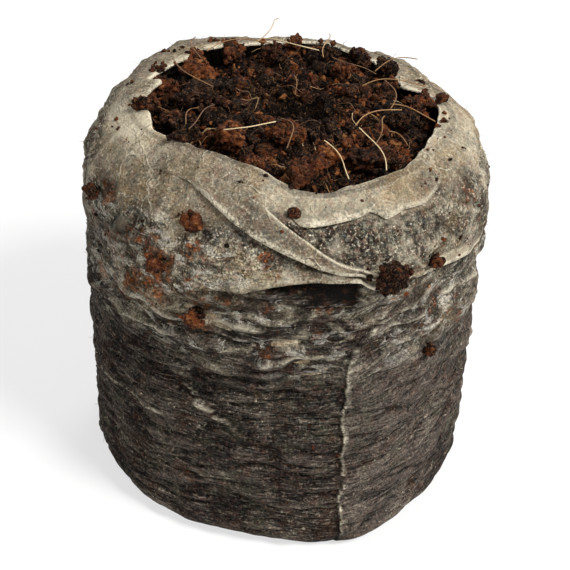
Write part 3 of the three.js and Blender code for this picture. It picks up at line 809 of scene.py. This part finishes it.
def wallVertex(azimuth, share):
    s = sleeve
    x, y = circle(azimuth, s["shoulderRadius"])
    turn = turnFrom(0, azimuth)
    hem, below, above = foldLines(azimuth)[0][0]
    low, high = s["baseCorner"], hem - 0.1
    height = mix(low, high, share)
    lift, along = lapLift(azimuth, height)
    crimp = crimpAt(azimuth, height)
    crease = creaseAt(azimuth, height)
    rust, wet = marksAt(azimuth, height)
    under = ease(height, high - 5, high - 1)
    upper = ease(height + 2 * ripple(x / 6, y / 6, 8.1), 21, 26)

    # In the slit under the hem the cloth has sunk back to the coir, and the slit is painted near black as
    # shade
    floor = slitFloor(azimuth)
    sunk, reach, wander = 0, 3.2, 1
    if floor is not None:
        ragged = 1.5 * ripple(x / 1.6, y / 1.6, 4.4) + 0.8 * ripple(x / 0.6, y / 0.6, 9.4)
        sunk, reach, wander = ease(height, floor - 0.35 + ragged, floor + 0.15 + ragged), 0.6, 0.2
    shown = 1 - sunk

    rough = (1 - 0.55 * under) * (1 - 0.8 * sunk)
    lump = ripple(x / 4.2, y / 4.2, height / 3.1)
    lift += (s["crimpDepth"] * crimp - s["crimpFoot"]) * rough + (0.4 + 0.7 * upper) * lump * shown
    lift += crease * shown + below * max(sunk, 0.6 * ease(height, high - 1.2, high))
    plain = 1 - min(1, (above - below) / 0.25)  # there the hem has no edge and the wall runs on
    runOn = 0.5 * collarLump(x, y, height) + 0.5 * (crimp - 0.4)
    lift = mix(lift, runOn, plain * ease(height, high - 2.5, high))

    ragged = 2.2 * ripple(x / 2.2, y / 2.2, height / 1.6 + 5)
    tone = 0.85 * ease(height + ragged * wander, high - reach, high + 0.6)
    haze = 0.35 * under * ease(ripple(x / 3.1 + 7, y / 3.1, height / 1.5), -0.05, 0.3)
    haze = max(haze, 0.5 * hump(azimuth, 50, 30) * ease(height, 22, 27))
    # Painted shadow just under the hem at the front and beside the lapped edge; a painted highlight on the
    # frayed lapped edge and the raised creases
    front = ease(turn, -34, -20) * fade(turn, 58, 76)
    shadow = 0.85 * front * ease(height + 0.7 * ripple(x / 0.9, y / 0.9, 2.2), high - 0.9, high - 0.2)
    beside = 0.7 * ease(along, -0.6, -0.1) * fade(along, -0.05, 0.02)
    fray = 0.3 + 0.7 * ease(ripple(1.1, 5.2, height / 0.9), -0.1, 0.3)
    frayed = fray * (ease(along, -0.05, 0.05) - ease(along, 0.1, 0.35))
    look = dict(
        tone=max(tone, haze) * shown,
        crimp=(crimp - 0.22 * ease(height, 11, 16) * fade(height, 21, 25) * fade(turn, 14, 22)) * shown,
        lap=ease(along, 0, 0.2) * fade(along, 7, 18),
        edge=max(ease(crease, 0.1, 0.55), frayed) * shown,
        gloom=max(sunk, shadow, 0.8 * wet, beside),
        stain=rust,
        high=upper * shown,
    )
    return sheetPoint(azimuth, "side", height, lift), height - low - slantAt(azimuth, height), look


def collarVertex(azimuth, kind, number, step):  # number is that of the fold line, from the hem up
    s = sleeve
    x, y = circle(azimuth, s["shoulderRadius"])
    turn = turnFrom(0, azimuth)
    lines, rim = foldLines(azimuth)
    line, below, above = lines[number]
    if kind == "fold":
        height, lift, edge = foldRow(lines[number], step)
        if number == 0:
            edge *= mix(0.35, 1, ease(turn, 4, 15))
    else:
        top, high = rim - 0.15, above * 0.7
        if number < 3:
            top, high = lines[number + 1][0] - 0.16, lines[number + 1][1]
        height = mix(line + 0.1, top, step)
        lift = mix(above, high, step)
        edge = 0.5 * max(0, above - below) * fade(step, 0, 0.25)

    # Pale and smooth along the rim, on the cuff, and at the right of the hem
    worn = 1.2 * ripple(x / 2.1, y / 2.1, height / 2.1 + 2)
    left = hump(azimuth, -70, 38) * ease(height + worn, rim - 3.0, rim - 1.2)
    cream = max(
        0.45 * ease(lift, 0.45, 0.8),
        mix(0.58, 0.4, ease(abs(turn), 60, 90)) * ease(height, rim - 1.7, rim - 0.6),
        0.95 * hump(azimuth, 6, 38) * ease(height, rim - 2.6, rim - 1.5),
        0.52 * hump(azimuth, -27, 32) * ease(height, 37.4, 38.6),
        0.58 * hump(azimuth, -56, 34) * ease(height + 2 * worn, 36, 39),
        0.95 * hump(azimuth, 82, 46) * ease(height + worn, rim - 3.6, rim - 1.6),
        left,
    )
    if number == 3:
        cream = max(cream, mix(0.95, 0.7, ease(turn, 22, 34)) * ease(above - below, 0.1, 0.4))
    if number == 0:
        cream = max(cream, 0.9 * hump(azimuth, 50, 28) * fade(height - line, 0.9, 1.5))

    ridge = max(0, 1 - abs(ripple(x / 3.6 + 17, y / 3.6, height / 3.2)) / 0.16)
    crease = max(creaseAt(azimuth, height), 0.22 * ridge) * (1 - 0.6 * ease(cream, 0.3, 0.8))
    loose = mix(1, 0.4, min(1, abs(above - below) / 0.25)) if kind == "fold" else 1
    lift += (collarLump(x, y, height) * mix(0.5, 0.2, cream) + crease) * loose

    tone, wild = 0.9 + 0.1 * cream, 0
    if number == 0:
        wander = height + 2.4 * ripple(x / 2.4, y / 2.4, 7.3)
        wild = hump(azimuth, -40, 62) ** 0.7 * fade(wander, 34.5, 38.5)
        tone *= 1 - 0.75 * ease(-turn, 40, 56) * fade(-turn, 100, 130) * fade(wander, 32.5, 35)
    tone *= 1 - 0.3 * hump(azimuth, 52, 34) * (1 - cream)
    # Painted shade where the sheet tucks under a fold
    under = 1 if kind == "fold" and step in (1, 2) and above - below > 0.3 else 0
    if kind == "face" and number == 0:  # painted shadow just under the diagonal flap, with wet coir showing through
        flap = lines[1][0]
        low = ease(height + 1.1 * ripple(x, y, height, 1.1), flap - 1.5, flap - 0.3)
        under = 0.75 * low * hump(azimuth, 0, 26)
    rust, wet = marksAt(azimuth, height)
    # edge paints a highlight along the fold edges, just over them and on raised creases, and marks the pale
    # torn rim at the left
    look = dict(
        tone=tone,
        cream=cream,
        edge=max(edge, 0.7 * left, 0.5 * ease(crease, 0.1, 0.3)),
        crimp=0.5,
        gloom=max(under, 0.75 * wet),
        stain=rust,
        high=wild,
    )
    return sheetPoint(azimuth, "side", height, lift), height - s["baseCorner"], look


def mouthVertex(azimuth, kind, step):  # turned in over the coir, round the lip and back under
    lines, rim = foldLines(azimuth)
    cuff = lines[3]
    share = 1 if kind == "lip" else step
    lift = cuff[2] * 0.7 * (1 - 0.7 * share) + (0 if kind == "turnIn" else -0.35)
    if kind == "lip":
        lift += (0.3, 0.12)[step]
        share = 1 + 0.08 / (0.3 + edgeAt(azimuth)[0])
    left = hump(azimuth, -72, 34)
    pale = max(0.95 * left, 0.85 * hump(azimuth, 8, 44), 0.9 * hump(azimuth, 80, 50), 0.3)
    # The lip is painted brighter, partly its pale torn edge and partly a painted highlight, less where the
    # cloth turns under
    bright = 0.2 if kind == "turnUnder" else 0.9 * ease(share, 0.75, 1) + 0.1
    look = dict(tone=1, cream=pale, edge=max(bright, 0.6 * left), crimp=0.5, stain=0.5)
    return mouthPoint(azimuth, share, lift), rim + 1, look


def innerVertex(azimuth, kind, share):
    lift = sleeve["innerLift"]
    if kind == "inBase":
        return sheetPoint(azimuth, "base", share, lift), 70 + 12 * (1 - share), dict(tone=0.5)
    low, high = sleeve["baseCorner"], sleeve["shoulderHeight"]
    if kind == "inside":
        lines, rim = foldLines(azimuth)
        cuff = lines[3]
        low, high = high, rim
        lift += cuff[2] * 0.7 * ease(share, 0.5, 1)
    height = mix(low, high, share)
    return sheetPoint(azimuth, "side", height, lift), 60 - height * 0.2, dict(tone=1, cream=0.6)


def sleeveVertex(azimuth, kind, *values):
    if kind in ("fold", "face"):
        return collarVertex(azimuth, kind, *values)
    if kind in ("turnIn", "lip", "turnUnder"):
        return mouthVertex(azimuth, kind, *values)
    if kind in ("inside", "inWall", "inBase"):
        return innerVertex(azimuth, kind, *values)
    return {"base": baseVertex, "corner": cornerVertex, "wall": wallVertex}[kind](azimuth, *values)


def columnAzimuths():  # evenly round the plug, with some close to the lapped edge
    close = [-0.9, -0.45, -0.2, -0.08, 0.0, 0.08, 0.2, 0.45, 0.9]
    count = sleeve["columns"] - len(close)
    start, rest = sleeve["lapAzimuth"], 360 - 2 * close[-1]
    return [start + c for c in close] + [
        start + close[-1] + rest * (i + 1) / (count + 1) for i in range(count)
    ]


def makeSleeve():
    s = sleeve
    rows = sleeveRows()
    azimuths = columnAzimuths()
    across, upward = len(azimuths), len(rows)
    lapTop = s["lapEdge"][-1][0]
    bm = bmesh.new()
    cloth = bm.loops.layers.uv.new("cloth")
    layers = {name: bm.verts.layers.float.new(name) for name in clothMarks}
    bmesh.ops.create_grid(bm, x_segments=across, y_segments=upward, size=1)
    flat = {}
    for vert in bm.verts:
        column = round((vert.co.x + 1) / 2 * across)
        kind, *values = rows[round((vert.co.y + 1) / 2 * upward) % upward]
        azimuth = azimuths[column % across]
        height = values[0] * lapTop if kind == "wall" else lapTop
        if kind in ("base", "corner"):
            height = s["lapFoot"]
        shift = (lapEdgeAt(height) - s["lapAzimuth"]) * hump(azimuth, s["lapAzimuth"], s["lapSpread"])
        vert.co, rise, look = sleeveVertex(azimuth + shift, kind, *values)
        turns = column // across
        flat[vert] = ((azimuth / 360 + turns) * math.tau * s["shoulderRadius"] * mm, rise * mm)
        for name, value in look.items():
            vert[layers[name]] = value
    for face in bm.faces:
        for loop in face.loops:
            loop[cloth].uv = flat[loop.vert]
    seal(bm, 2e-6)
    skin = BVHTree.FromBMesh(bm)
    piece = makePiece("fleece_wrap", bm, fleece, ["fleece_sleeve"])
    return skin


skin = makeSleeve()
report("sleeve made")


# Coir column

column = {
    "gap": 0.85,  # from the fair sleeve to the coir
    "moundHeight": 1.2,
    "lumpHeight": 1.6,
    "lumpSize": 3.1,
    "holeRadius": 3.7,
    "holeBottomRadius": 3.3,
    "holeBottom": 28.6,
    "funnel": 1.2,
    "mouthRadius": 16.9,
    "topHeight": 40.6,
    "tilt": 0.8,
    "columns": 200,
    "sideHeights": (39, 36, 32, 24, 14, 5),
    # where the coir lies low beside the mouth's edge: azimuth, spread, depth
    "hollows": [(120, 40, 1.1), (-132, 40, 1.5), (25, 32, 1.0), (-72, 30, 1.2), (75, 22, 0.8)],
}


def soilHeight(x, y):
    c = column
    out = math.hypot(x, y) / c["mouthRadius"]
    size = c["lumpSize"]
    lumps = ripple(x / size, y / size, 2.7) + 0.5 * ripple(x / 1.3, y / 1.3, 7.7)
    fine = 0.25 * ripple(x / 0.6, y / 0.6, 5.1)
    mound = c["moundHeight"] * (1 - out * out) + c["lumpHeight"] * lumps * (1 - min(1, out) ** 6) + fine
    azimuth = math.degrees(math.atan2(x, -y))
    low = sum(depth * hump(azimuth, centre, spread) for centre, spread, depth in c["hollows"])
    return c["topHeight"] + c["tilt"] * y / c["mouthRadius"] + mound - low * ease(out, 0.62, 0.9)


def soilAt(azimuth, radius):
    at = place(azimuth, radius, 0) / mm
    return soilHeight(at.x, at.y)


def makeColumn():
    c = column
    funnel = c["holeRadius"] + c["funnel"]
    rows = [("centre", 0)] + [("floor", 0.7)] + [("hole", i / 14) for i in range(15)]
    rows += [("top", i / 52) for i in range(53)]
    rows += [("side", height) for height in c["sideHeights"]] + [("under", 1), ("under", 0)]
    bm, tint = tinted()
    bmesh.ops.create_grid(bm, x_segments=c["columns"], y_segments=len(rows) - 1, size=1)
    for vert in bm.verts:
        azimuth = round((vert.co.x + 1) / 2 * c["columns"]) % c["columns"] * 360 / c["columns"]
        kind, share = rows[round((vert.co.y + 1) / 2 * (len(rows) - 1))]
        # The coir under the crumbs is kept near black: painted shade between the crumbs and down the hole
        vert[tint] = 0.04 + 0.2 * ripple(azimuth / 9, share * 9, 1.5)
        if kind in ("centre", "floor"):
            spot = place(azimuth, c["holeBottomRadius"] * share, c["holeBottom"] + 0.4 * share)
        elif kind == "hole":
            at = place(azimuth, c["holeRadius"], 0) / mm
            top = soilHeight(at.x, at.y) - c["funnel"]
            height = mix(c["holeBottom"] + 0.7, top, share)
            grain = 0.5 * ripple(at.x, at.y, height, 1.1)
            spot = place(azimuth, mix(c["holeBottomRadius"], c["holeRadius"], share) + grain, height)
        elif kind == "top":
            brim = rimAt(azimuth)[0] - 0.7
            radius = mix(funnel, brim, share)
            spot = place(azimuth, radius, soilAt(azimuth, radius) - 0.9 * ease(share, 0.93, 1))
        elif kind == "side":
            rim = rimAt(azimuth)[1]
            spot = sheetPoint(azimuth, "side", min(share, rim - 2.5), -c["gap"])
        else:
            foot = sheetPoint(azimuth, "base", 0.95, -c["gap"])
            spot = foot * share + Vector((0, 0, c["gap"] * mm)) * (1 - share)
        vert.co = spot
    seal(bm, 2e-6)
    makePiece("coir_column", bm, coir, ["coir_core"])


makeColumn()
report("coir column made")


# Crumbs of coir

crumbs = {
    "count": 2700,
    "sizes": [(0.3, 0.6, 0.6), (0.6, 1.1, 0.32), (1.1, 1.9, 0.08)],  # from, to, share of the crumbs
    "tints": [(0.0, 0.2, 0.46), (0.25, 0.55, 0.3), (0.55, 0.8, 0.18), (0.8, 1.0, 0.06)],
    "grit": 2400,
    "handful": 50,
    "inHole": 110,
    "onFleece": 130,
    "dustSizes": (0.2, 0.26, 0.34, 0.5),
    "underStuck": 14,
    "holeTop": 39.5,
    "buried": 1.3,  # a hair's end that is less than this above the coir is covered
    "buriedWithin": 13.5,
    "strayFloor": 38,
    # crumbs that lie on the mouth's turned edge: azimuth, radius, spread, how many, largest size, tint
    "strays": [
        (-112, 14.4, 1.5, 16, 0.8, 0.5), (-101, 16.6, 0.6, 4, 0.5, 0.3), (-128, 16.0, 1.4, 6, 0.6, 0.3),
        (-150, 15.0, 1.4, 8, 0.7, 0.5), (97, 16.0, 0.3, 1, 1.7, 0.6), (112, 15.4, 0.5, 4, 0.7, 0.25),
        (136, 15.6, 0.6, 4, 0.5, 0.3), (80, 15.6, 0.9, 8, 0.7, 0.6), (162, 15.2, 1.2, 7, 0.9, 0.45),
        (176, 15.2, 1.4, 7, 0.8, 0.6), (-170, 15.0, 1.4, 6, 0.8, 0.5), (60, 15.2, 0.7, 4, 0.6, 0.6),
        (-80, 14.8, 0.8, 5, 0.6, 0.35), (22, 15.8, 0.5, 3, 0.6, 0.6), (-60, 14.2, 0.6, 3, 0.5, 0.4),
    ],
}


def pick(bands):
    draw = luck.random()
    for low, high, share in bands:
        if draw < share:
            break
        draw -= share
    return luck.uniform(low, high)


def addCrumb(bm, tintLayer, spot, size, tint, faces=2):
    turned = Matrix.Rotation(luck.uniform(0, math.tau), 4, "Z")
    turned = turned @ Matrix.Rotation(luck.uniform(0, math.pi), 4, "X")
    shape = Matrix.Diagonal((1, luck.uniform(0.6, 1), luck.uniform(0.5, 0.85), 1))
    made = bmesh.ops.create_icosphere(bm, subdivisions=faces, radius=0.5)
    seed = luck.uniform(0, 60)
    for vert in made["verts"]:
        p = vert.co
        coarse = ripple(p.x * 3 + seed, p.y * 3, p.z * 3)
        fine = ripple(p.x * 7, p.y * 7 + seed, p.z * 7)
        grow = 1 + 0.8 * coarse + 0.4 * fine
        vert.co = turned @ shape @ (p * (grow * size * mm)) + spot
        vert[tintLayer] = tint + 0.25 * ripple(p.x * 4, p.y * 4 + seed, p.z * 4)


def heap(spots):  # crumbs from a list of (place, size, tint, subdivisions), made a handful at a time
    whole = tinted()[0]
    for first in range(0, len(spots), crumbs["handful"]):
        few, tint = tinted()
        for spot in spots[first:first + crumbs["handful"]]:
            addCrumb(few, tint, *spot)
        mesh = bpy.data.meshes.new("few")
        few.to_mesh(mesh)
        few.free()
        whole.from_mesh(mesh)
        bpy.data.meshes.remove(mesh)
    return whole


def scatter(azimuth, inner, outer):  # a radius on the coir's top, evenly over the area
    hole = column["holeRadius"] + inner
    most = rimAt(azimuth)[0] - outer - 0.85 * max(0, edgeAt(azimuth)[0])
    return math.sqrt(mix(hole ** 2, most * most, luck.random()))


def makeCrumbs():
    c = crumbs
    spots = []
    for _ in range(c["count"]):
        azimuth = luck.uniform(0, 360)
        size = pick(c["sizes"])
        radius = scatter(azimuth, 0.5, 0.55 + 0.45 * size)
        dip = column["funnel"] * fade(radius, column["holeRadius"], column["holeRadius"] + 1.4)
        height = soilAt(azimuth, radius) - dip + 0.12 * size
        spots.append((place(azimuth, radius, height), size, pick(c["tints"])))
    # the crumbs down the hole take the darker tints, painted shade in the hole
    for _ in range(c["inHole"]):
        size = pick(c["sizes"][:2])
        azimuth = luck.uniform(0, 360)
        height = mix(column["holeBottom"], c["holeTop"], luck.random() ** 0.6)
        spots.append((place(azimuth, column["holeRadius"] + 0.1, height), size, pick(c["tints"][:2])))
    for node in nodesNamed("coir_fibre"):  # the ends of the long hairs are buried
        points = pointsOf(node)
        near = min(points, key=lambda p: p.z + 0.2 * p.length)
        far = max(points, key=lambda p: (p - near).length)
        for end in (near, far):
            over = end.z / mm - soilHeight(end.x / mm, end.y / mm)
            if over < c["buried"] and end.xy.length < c["buriedWithin"] * mm:
                spots.append((end - Vector((0, 0, 0.1 * mm)), luck.uniform(0.6, 1.2), pick(c["tints"])))
    half = len(spots) // 2
    makePiece("coir_crumbs_1", heap(spots[:half]), coir)
    makePiece("coir_crumbs_2", heap(spots[half:]), coir)


def makeGrit():  # the finest crumbs, between the others
    spots = []
    for _ in range(crumbs["grit"]):
        azimuth = luck.uniform(0, 360)
        radius = scatter(azimuth, 0.8, 0.8)
        height = soilAt(azimuth, radius) + luck.uniform(0.05, 0.5)
        spots.append((place(azimuth, radius, height), luck.uniform(0.18, 0.36), pick(crumbs["tints"]), 1))
    makePiece("coir_grit", heap(spots), coir)


def onSkin(azimuth, height):  # the sleeve's outer face, and the way out of it
    return skin.ray_cast(place(azimuth, 40, height), place(azimuth, -1, 0).normalized())[:2]


def anyWay():
    return Vector([luck.gauss(0, 1) for _ in range(3)])


def makeDust():  # crumbs and dust that cling to the fleece
    spots = []
    while len(spots) < crumbs["onFleece"]:
        azimuth = luck.choice([luck.gauss(-40, 30), luck.gauss(60, 25), luck.uniform(-180, 180)])
        height = luck.choice([
            luck.gauss(41.5, 0.8), luck.gauss(36, 3), luck.gauss(33, 4), luck.uniform(8, 40),
        ])
        spot = onSkin(azimuth, height)[0]
        if spot:
            size = luck.choice(crumbs["dustSizes"])
            spots.append((spot, size, luck.uniform(0.1, 0.6)))
    for azimuth, radius, spread, many, size, tint in crumbs["strays"]:
        for _ in range(many):
            x, y = luck.gauss(0, spread), luck.gauss(0, spread)
            at = place(azimuth, radius, 60) + Vector((x, y, 0)) * mm * (0.6 if many > 1 else 0)
            spot = skin.ray_cast(at, Vector((0, 0, -1)))[0]
            if spot and spot.z > crumbs["strayFloor"] * mm:
                wide = size * luck.uniform(0.35, 1) if many > 1 else size
                lift = Vector((0, 0, 0.1 * wide * mm))
                spots.append((spot + lift, wide, tint + luck.uniform(-0.2, 0.2)))
    for node in nodesNamed("stuck_crumb"):  # what holds each of the larger crumbs to the fleece
        points = pointsOf(node)
        centre = sum(points, Vector()) / len(points)
        reach = max((p - centre).length for p in points)
        foot = skin.find_nearest(centre)[0]
        for _ in range(crumbs["underStuck"]):
            way = anyWay() * 0.3 * reach
            at = foot.lerp(centre, luck.uniform(0, 0.7)) + way
            spots.append((at, luck.uniform(0.4, 0.8), luck.uniform(0.2, 0.5)))
    makePiece("clinging_dust", heap(spots), husk)


makeCrumbs()
makeGrit()
makeDust()
report("crumbs made")


chips = {
    "tints": [(0.1, 0.35, 0.45), (0.35, 0.6, 0.4), (0.6, 0.75, 0.15)],
    "fixedTints": {
        "husk_chip_17": 0.42, "husk_chip_18": 0.5, "husk_chip_22": 0.46, "husk_chip_24": 0.4,
        "stuck_crumb_01": 0.62, "stuck_crumb_02": 0.24,
    },
    "cuts": 4,
    "roughness": 0.5,
    "grains": 70,
    "stuckRoughness": 0.4,
    "stuck": (1.1, 12),  # how large a stuck crumb is drawn, and its grains
    "stuckLarge": (0.92, 60),
    "bedding": 9,
    # the outer chips are drawn a little smaller, so that the mouth's edge shows
    "grow": {
        "husk_chip_18": 0.7, "husk_chip_20": 0.75, "husk_chip_21": 0.65, "husk_chip_23": 0.75,
        "husk_chip_24": 0.72,
    },
}


def roughCopy(node, name, tintValue, grow, amount, grains):
    # the node's own shape, divided and roughened, with smaller crumbs set into it
    bm = copyOf(node)
    bmesh.ops.subdivide_edges(bm, edges=bm.edges, cuts=chips["cuts"], use_grid_fill=True, smooth=0.6)
    tint = bm.verts.layers.float.new("tint")
    centre = sum((v.co for v in bm.verts), Vector()) / len(bm.verts)
    sink = Vector((0, 0, max(0, 1 - grow) * (centre.z - min(v.co.z for v in bm.verts))))
    for vert in bm.verts:
        p = vert.co / mm
        rough = amount * (ripple(*p, 0.9) + 0.6 * ripple(*p, 0.4))
        vert.co = centre - sink + (vert.co - centre) * (grow + rough)
        vert[tint] = tintValue + 0.3 * ripple(p.x / 1.2, p.y / 1.2, p.z / 1.2 + 4)
    bmesh.ops.recalc_face_normals(bm, faces=bm.faces)
    bm.faces.ensure_lookup_table()
    spots = [bm.faces[luck.randrange(len(bm.faces))].calc_center_median() for _ in range(grains)]
    for spot in spots:
        addCrumb(bm, tint, spot, luck.uniform(0.3, 0.75), tintValue + luck.uniform(-0.2, 0.2))
    makePiece(name, bm, husk, [node])


def makeChips():
    c = chips
    for node in nodesNamed("husk_chip"):
        tint = c["fixedTints"].get(node, pick(c["tints"]))
        grow = c["grow"].get(node, 1)
        roughCopy(node, node.replace("husk_chip", "chip"), tint, grow, c["roughness"], c["grains"])
    for node in nodesNamed("stuck_crumb"):
        tint = c["fixedTints"].get(node, luck.uniform(0.3, 0.6))
        grow, grains = c["stuckLarge" if node == "stuck_crumb_02" else "stuck"]
        roughCopy(node, node.replace("stuck", "clinging"), tint, grow, c["stuckRoughness"], grains)


makeChips()
report("chips made")


# Hairs

def addHair(bm, tintLayer, points, radius, tint, sides=5):
    # a grid rolled into a tapering tube along a smooth path
    steps = 3 * (len(points) - 1)
    made = bmesh.ops.create_grid(bm, x_segments=sides, y_segments=steps, size=1)
    path = []
    for i in range(steps + 1):
        along = i / steps * (len(points) - 1)
        k = min(int(along), len(points) - 2)
        t = along - k
        a, b = points[max(0, k - 1)], points[k]
        c, d = points[k + 1], points[min(len(points) - 1, k + 2)]
        bend = (2 * a - 5 * b + 4 * c - d) * t * t
        path.append(0.5 * (2 * b + (c - a) * t + bend + (3 * b - a - 3 * c + d) * t ** 3))
    for vert in made["verts"]:
        turn = round((vert.co.x + 1) / 2 * sides) % sides * math.tau / sides
        level = round((vert.co.y + 1) / 2 * steps)
        ahead = path[min(steps, level + 1)] - path[max(0, level - 1)]
        side = ahead.cross(Vector((0.3, 0.5, 0.8))).normalized()
        lift = ahead.cross(side).normalized()
        thick = radius * (0 if level in (0, steps) else mix(1, 0.55, level / steps))
        vert.co = (path[level] + (side * math.cos(turn) + lift * math.sin(turn)) * thick) * mm
        vert[tintLayer] = tint


hairs = {
    "thinned": 0.06,
    "pale": ["03", "04", "10", "20"],
    "paleTint": 0.95,
    "tints": (0.05, 0.6),
    "loose": 90,
    "spread": 15.2,
    "reach": 16.5,
    "length": (2, 6),
    "radius": (0.03, 0.06),
    "fuzz": 280,
    "fuzzLength": (0.3, 0.8),
    "fuzzRadius": (0.02, 0.035),
}


def makeFibres():
    for node in nodesNamed("coir_fibre"):
        bm = copyOf(node)
        tint = bm.verts.layers.float.new("tint")
        shade = hairs["paleTint"] if node[-2:] in hairs["pale"] else luck.uniform(*hairs["tints"])
        bm.normal_update()
        inset = [v.normal * hairs["thinned"] * mm for v in bm.verts]
        for vert, step in zip(bm.verts, inset):
            vert.co -= step
            vert[tint] = shade
        piece = makePiece(node.replace("coir_fibre", "fibre"), bm, hair, [node])
        smooth = piece.modifiers.new("smooth", "SUBSURF")
        smooth.levels = smooth.render_levels = 2


def makeLooseHairs():
    h = hairs
    bm, tint = tinted()
    for _ in range(h["loose"]):
        azimuth = luck.uniform(0, 360)
        radius = h["spread"] * math.sqrt(luck.uniform(0.08, 0.95))
        heading = luck.uniform(0, math.tau)
        length = luck.uniform(*h["length"])
        start = place(azimuth, radius, 0) / mm
        points = []
        for i in range(5):
            x = start.x + math.cos(heading) * length * i / 4
            y = start.y + math.sin(heading) * length * i / 4
            heading += luck.uniform(-0.5, 0.5)
            far = math.hypot(x, y)
            if far > h["reach"]:
                x, y = x * h["reach"] / far, y * h["reach"] / far
            points.append(Vector((x, y, soilHeight(x, y) + luck.uniform(0.1, 0.8))))
        addHair(bm, tint, points, luck.uniform(*h["radius"]), 0.05 + 0.8 * luck.random() ** 2)
    seal(bm)
    makePiece("loose_hairs", bm, hair)


def makeFuzz():  # frayed ends of fleece along the mouth, and some down both sides
    h = hairs
    bm, tint = tinted()
    for _ in range(h["fuzz"]):
        azimuth = luck.uniform(-180, 180)
        height = foldLines(azimuth)[1] - abs(luck.gauss(0, 0.9))
        if luck.random() < 0.4:
            height = luck.choice([luck.uniform(1, 40), luck.uniform(38, 42.4)])
            azimuth = luck.choice([luck.uniform(70, 100), luck.uniform(-100, -60)])
        spot, normal = onSkin(azimuth, height)
        if spot:
            length = luck.uniform(*h["fuzzLength"])
            along = Vector((luck.gauss(0, 1), luck.gauss(0, 1), luck.gauss(0.4, 0.8))).normalized()
            way = (normal * luck.uniform(0.2, 0.7) + along * 0.7).normalized()
            bend = anyWay() * 0.25
            points = [spot / mm + (way * t + bend * t * t) * length for t in (0, 0.5, 1)]
            addHair(bm, tint, points, luck.uniform(*h["fuzzRadius"]), luck.random(), 3)
    seal(bm)
    makePiece("frayed_ends", bm, fuzz)


makeFibres()
makeLooseHairs()
makeFuzz()
report("hairs made")


def makeBedding():  # crumbs under the chips, so that each one rests on the coir
    spots = []
    for node in nodesNamed("husk_chip"):
        points = [p / mm for p in pointsOf(node)]
        centre = sum(points, Vector()) / len(points)
        reach = 0.6 * chips["grow"].get(node, 1) * max((p - centre).xy.length for p in points)
        low = mix(min(p.z for p in points), centre.z, 0.3)
        for _ in range(chips["bedding"]):
            x = centre.x + reach * luck.uniform(-0.7, 0.7)
            y = centre.y + reach * luck.uniform(-0.7, 0.7)
            height = mix(soilHeight(x, y), low, luck.random())
            spots.append((Vector((x, y, height)) * mm, luck.uniform(0.6, 1.2), pick(crumbs["tints"])))
    makePiece("coir_bedding", heap(spots), coir)


makeBedding()
report("bedding made")


# Floor and light

stage = {
    "floor": 1.2,
    "white": (0.92, 0.92, 0.91, 1),
    "near": 0.1,  # the floor grows whiter from here, in metres, so that its end can't be seen
    "far": 0.5,
    "glow": 0.66,
    "moreGlow": 0.34,
    "sky": 0.28,
    "aim": (0, 0, 0.02),
    "lamps": [
        # name, azimuth, distance, height, size, strength
        ("key", 48, 330, 400, 140, 3.0),
        ("fill", -60, 380, 260, 260, 0.25),
        ("back", 160, 360, 330, 200, 0.9),
    ],
}


def makeStage():
    bm = bmesh.new()
    bmesh.ops.create_grid(bm, x_segments=4, y_segments=4, size=stage["floor"])
    mesh = bpy.data.meshes.new("floor")
    bm.to_mesh(mesh)
    bm.free()
    floor = bpy.data.objects.new("floor", mesh)
    scene.collection.objects.link(floor)
    f = Finish("pale_floor")
    seen = f.node("ShaderNodeLightPath", output="Is Camera Ray")
    board = f.node("ShaderNodeBsdfDiffuse", {}, {"Color": stage["white"]})
    glow = f.node("ShaderNodeEmission", {}, {"Color": (1, 1, 1, 1), "Strength": 1})
    away = f.node("ShaderNodeVectorMath", {"operation": "LENGTH"}, {0: f.spot}, "Value")
    whiter = stage["glow"] + f.ease(away, stage["near"], stage["far"]) * stage["moreGlow"]
    f.close(f.node("ShaderNodeMixShader", {}, {0: seen * whiter, 1: board, 2: glow}))
    mesh.materials.append(f.material)

    world = bpy.data.worlds.new("studio")
    scene.world = world
    world.use_nodes = True
    nodes, links = world.node_tree.nodes, world.node_tree.links
    path = nodes.new("ShaderNodeLightPath")
    shown = nodes.new("ShaderNodeMath")
    shown.operation = "MAXIMUM"
    links.new(path.outputs["Is Camera Ray"], shown.inputs[0])
    links.new(path.outputs["Is Glossy Ray"], shown.inputs[1])
    strength = nodes.new("ShaderNodeMix")
    strength.inputs[2].default_value = stage["sky"]
    strength.inputs[3].default_value = 1
    links.new(shown.outputs[0], strength.inputs[0])
    links.new(strength.outputs[0], nodes["Background"].inputs["Strength"])
    nodes["Background"].inputs["Color"].default_value = (1, 1, 1, 1)

    for name, azimuth, distance, height, size, power in stage["lamps"]:
        lamp = bpy.data.lights.new(name, "AREA")
        lamp.shape = "DISK"
        lamp.size = size * mm
        lamp.energy = power
        lampObject = bpy.data.objects.new(name, lamp)
        lampObject.location = place(azimuth, distance, height)
        aim = Vector(stage["aim"]) - lampObject.location
        lampObject.rotation_euler = aim.to_track_quat("-Z", "Y").to_euler()
        scene.collection.objects.link(lampObject)


makeStage()
report("stage made")
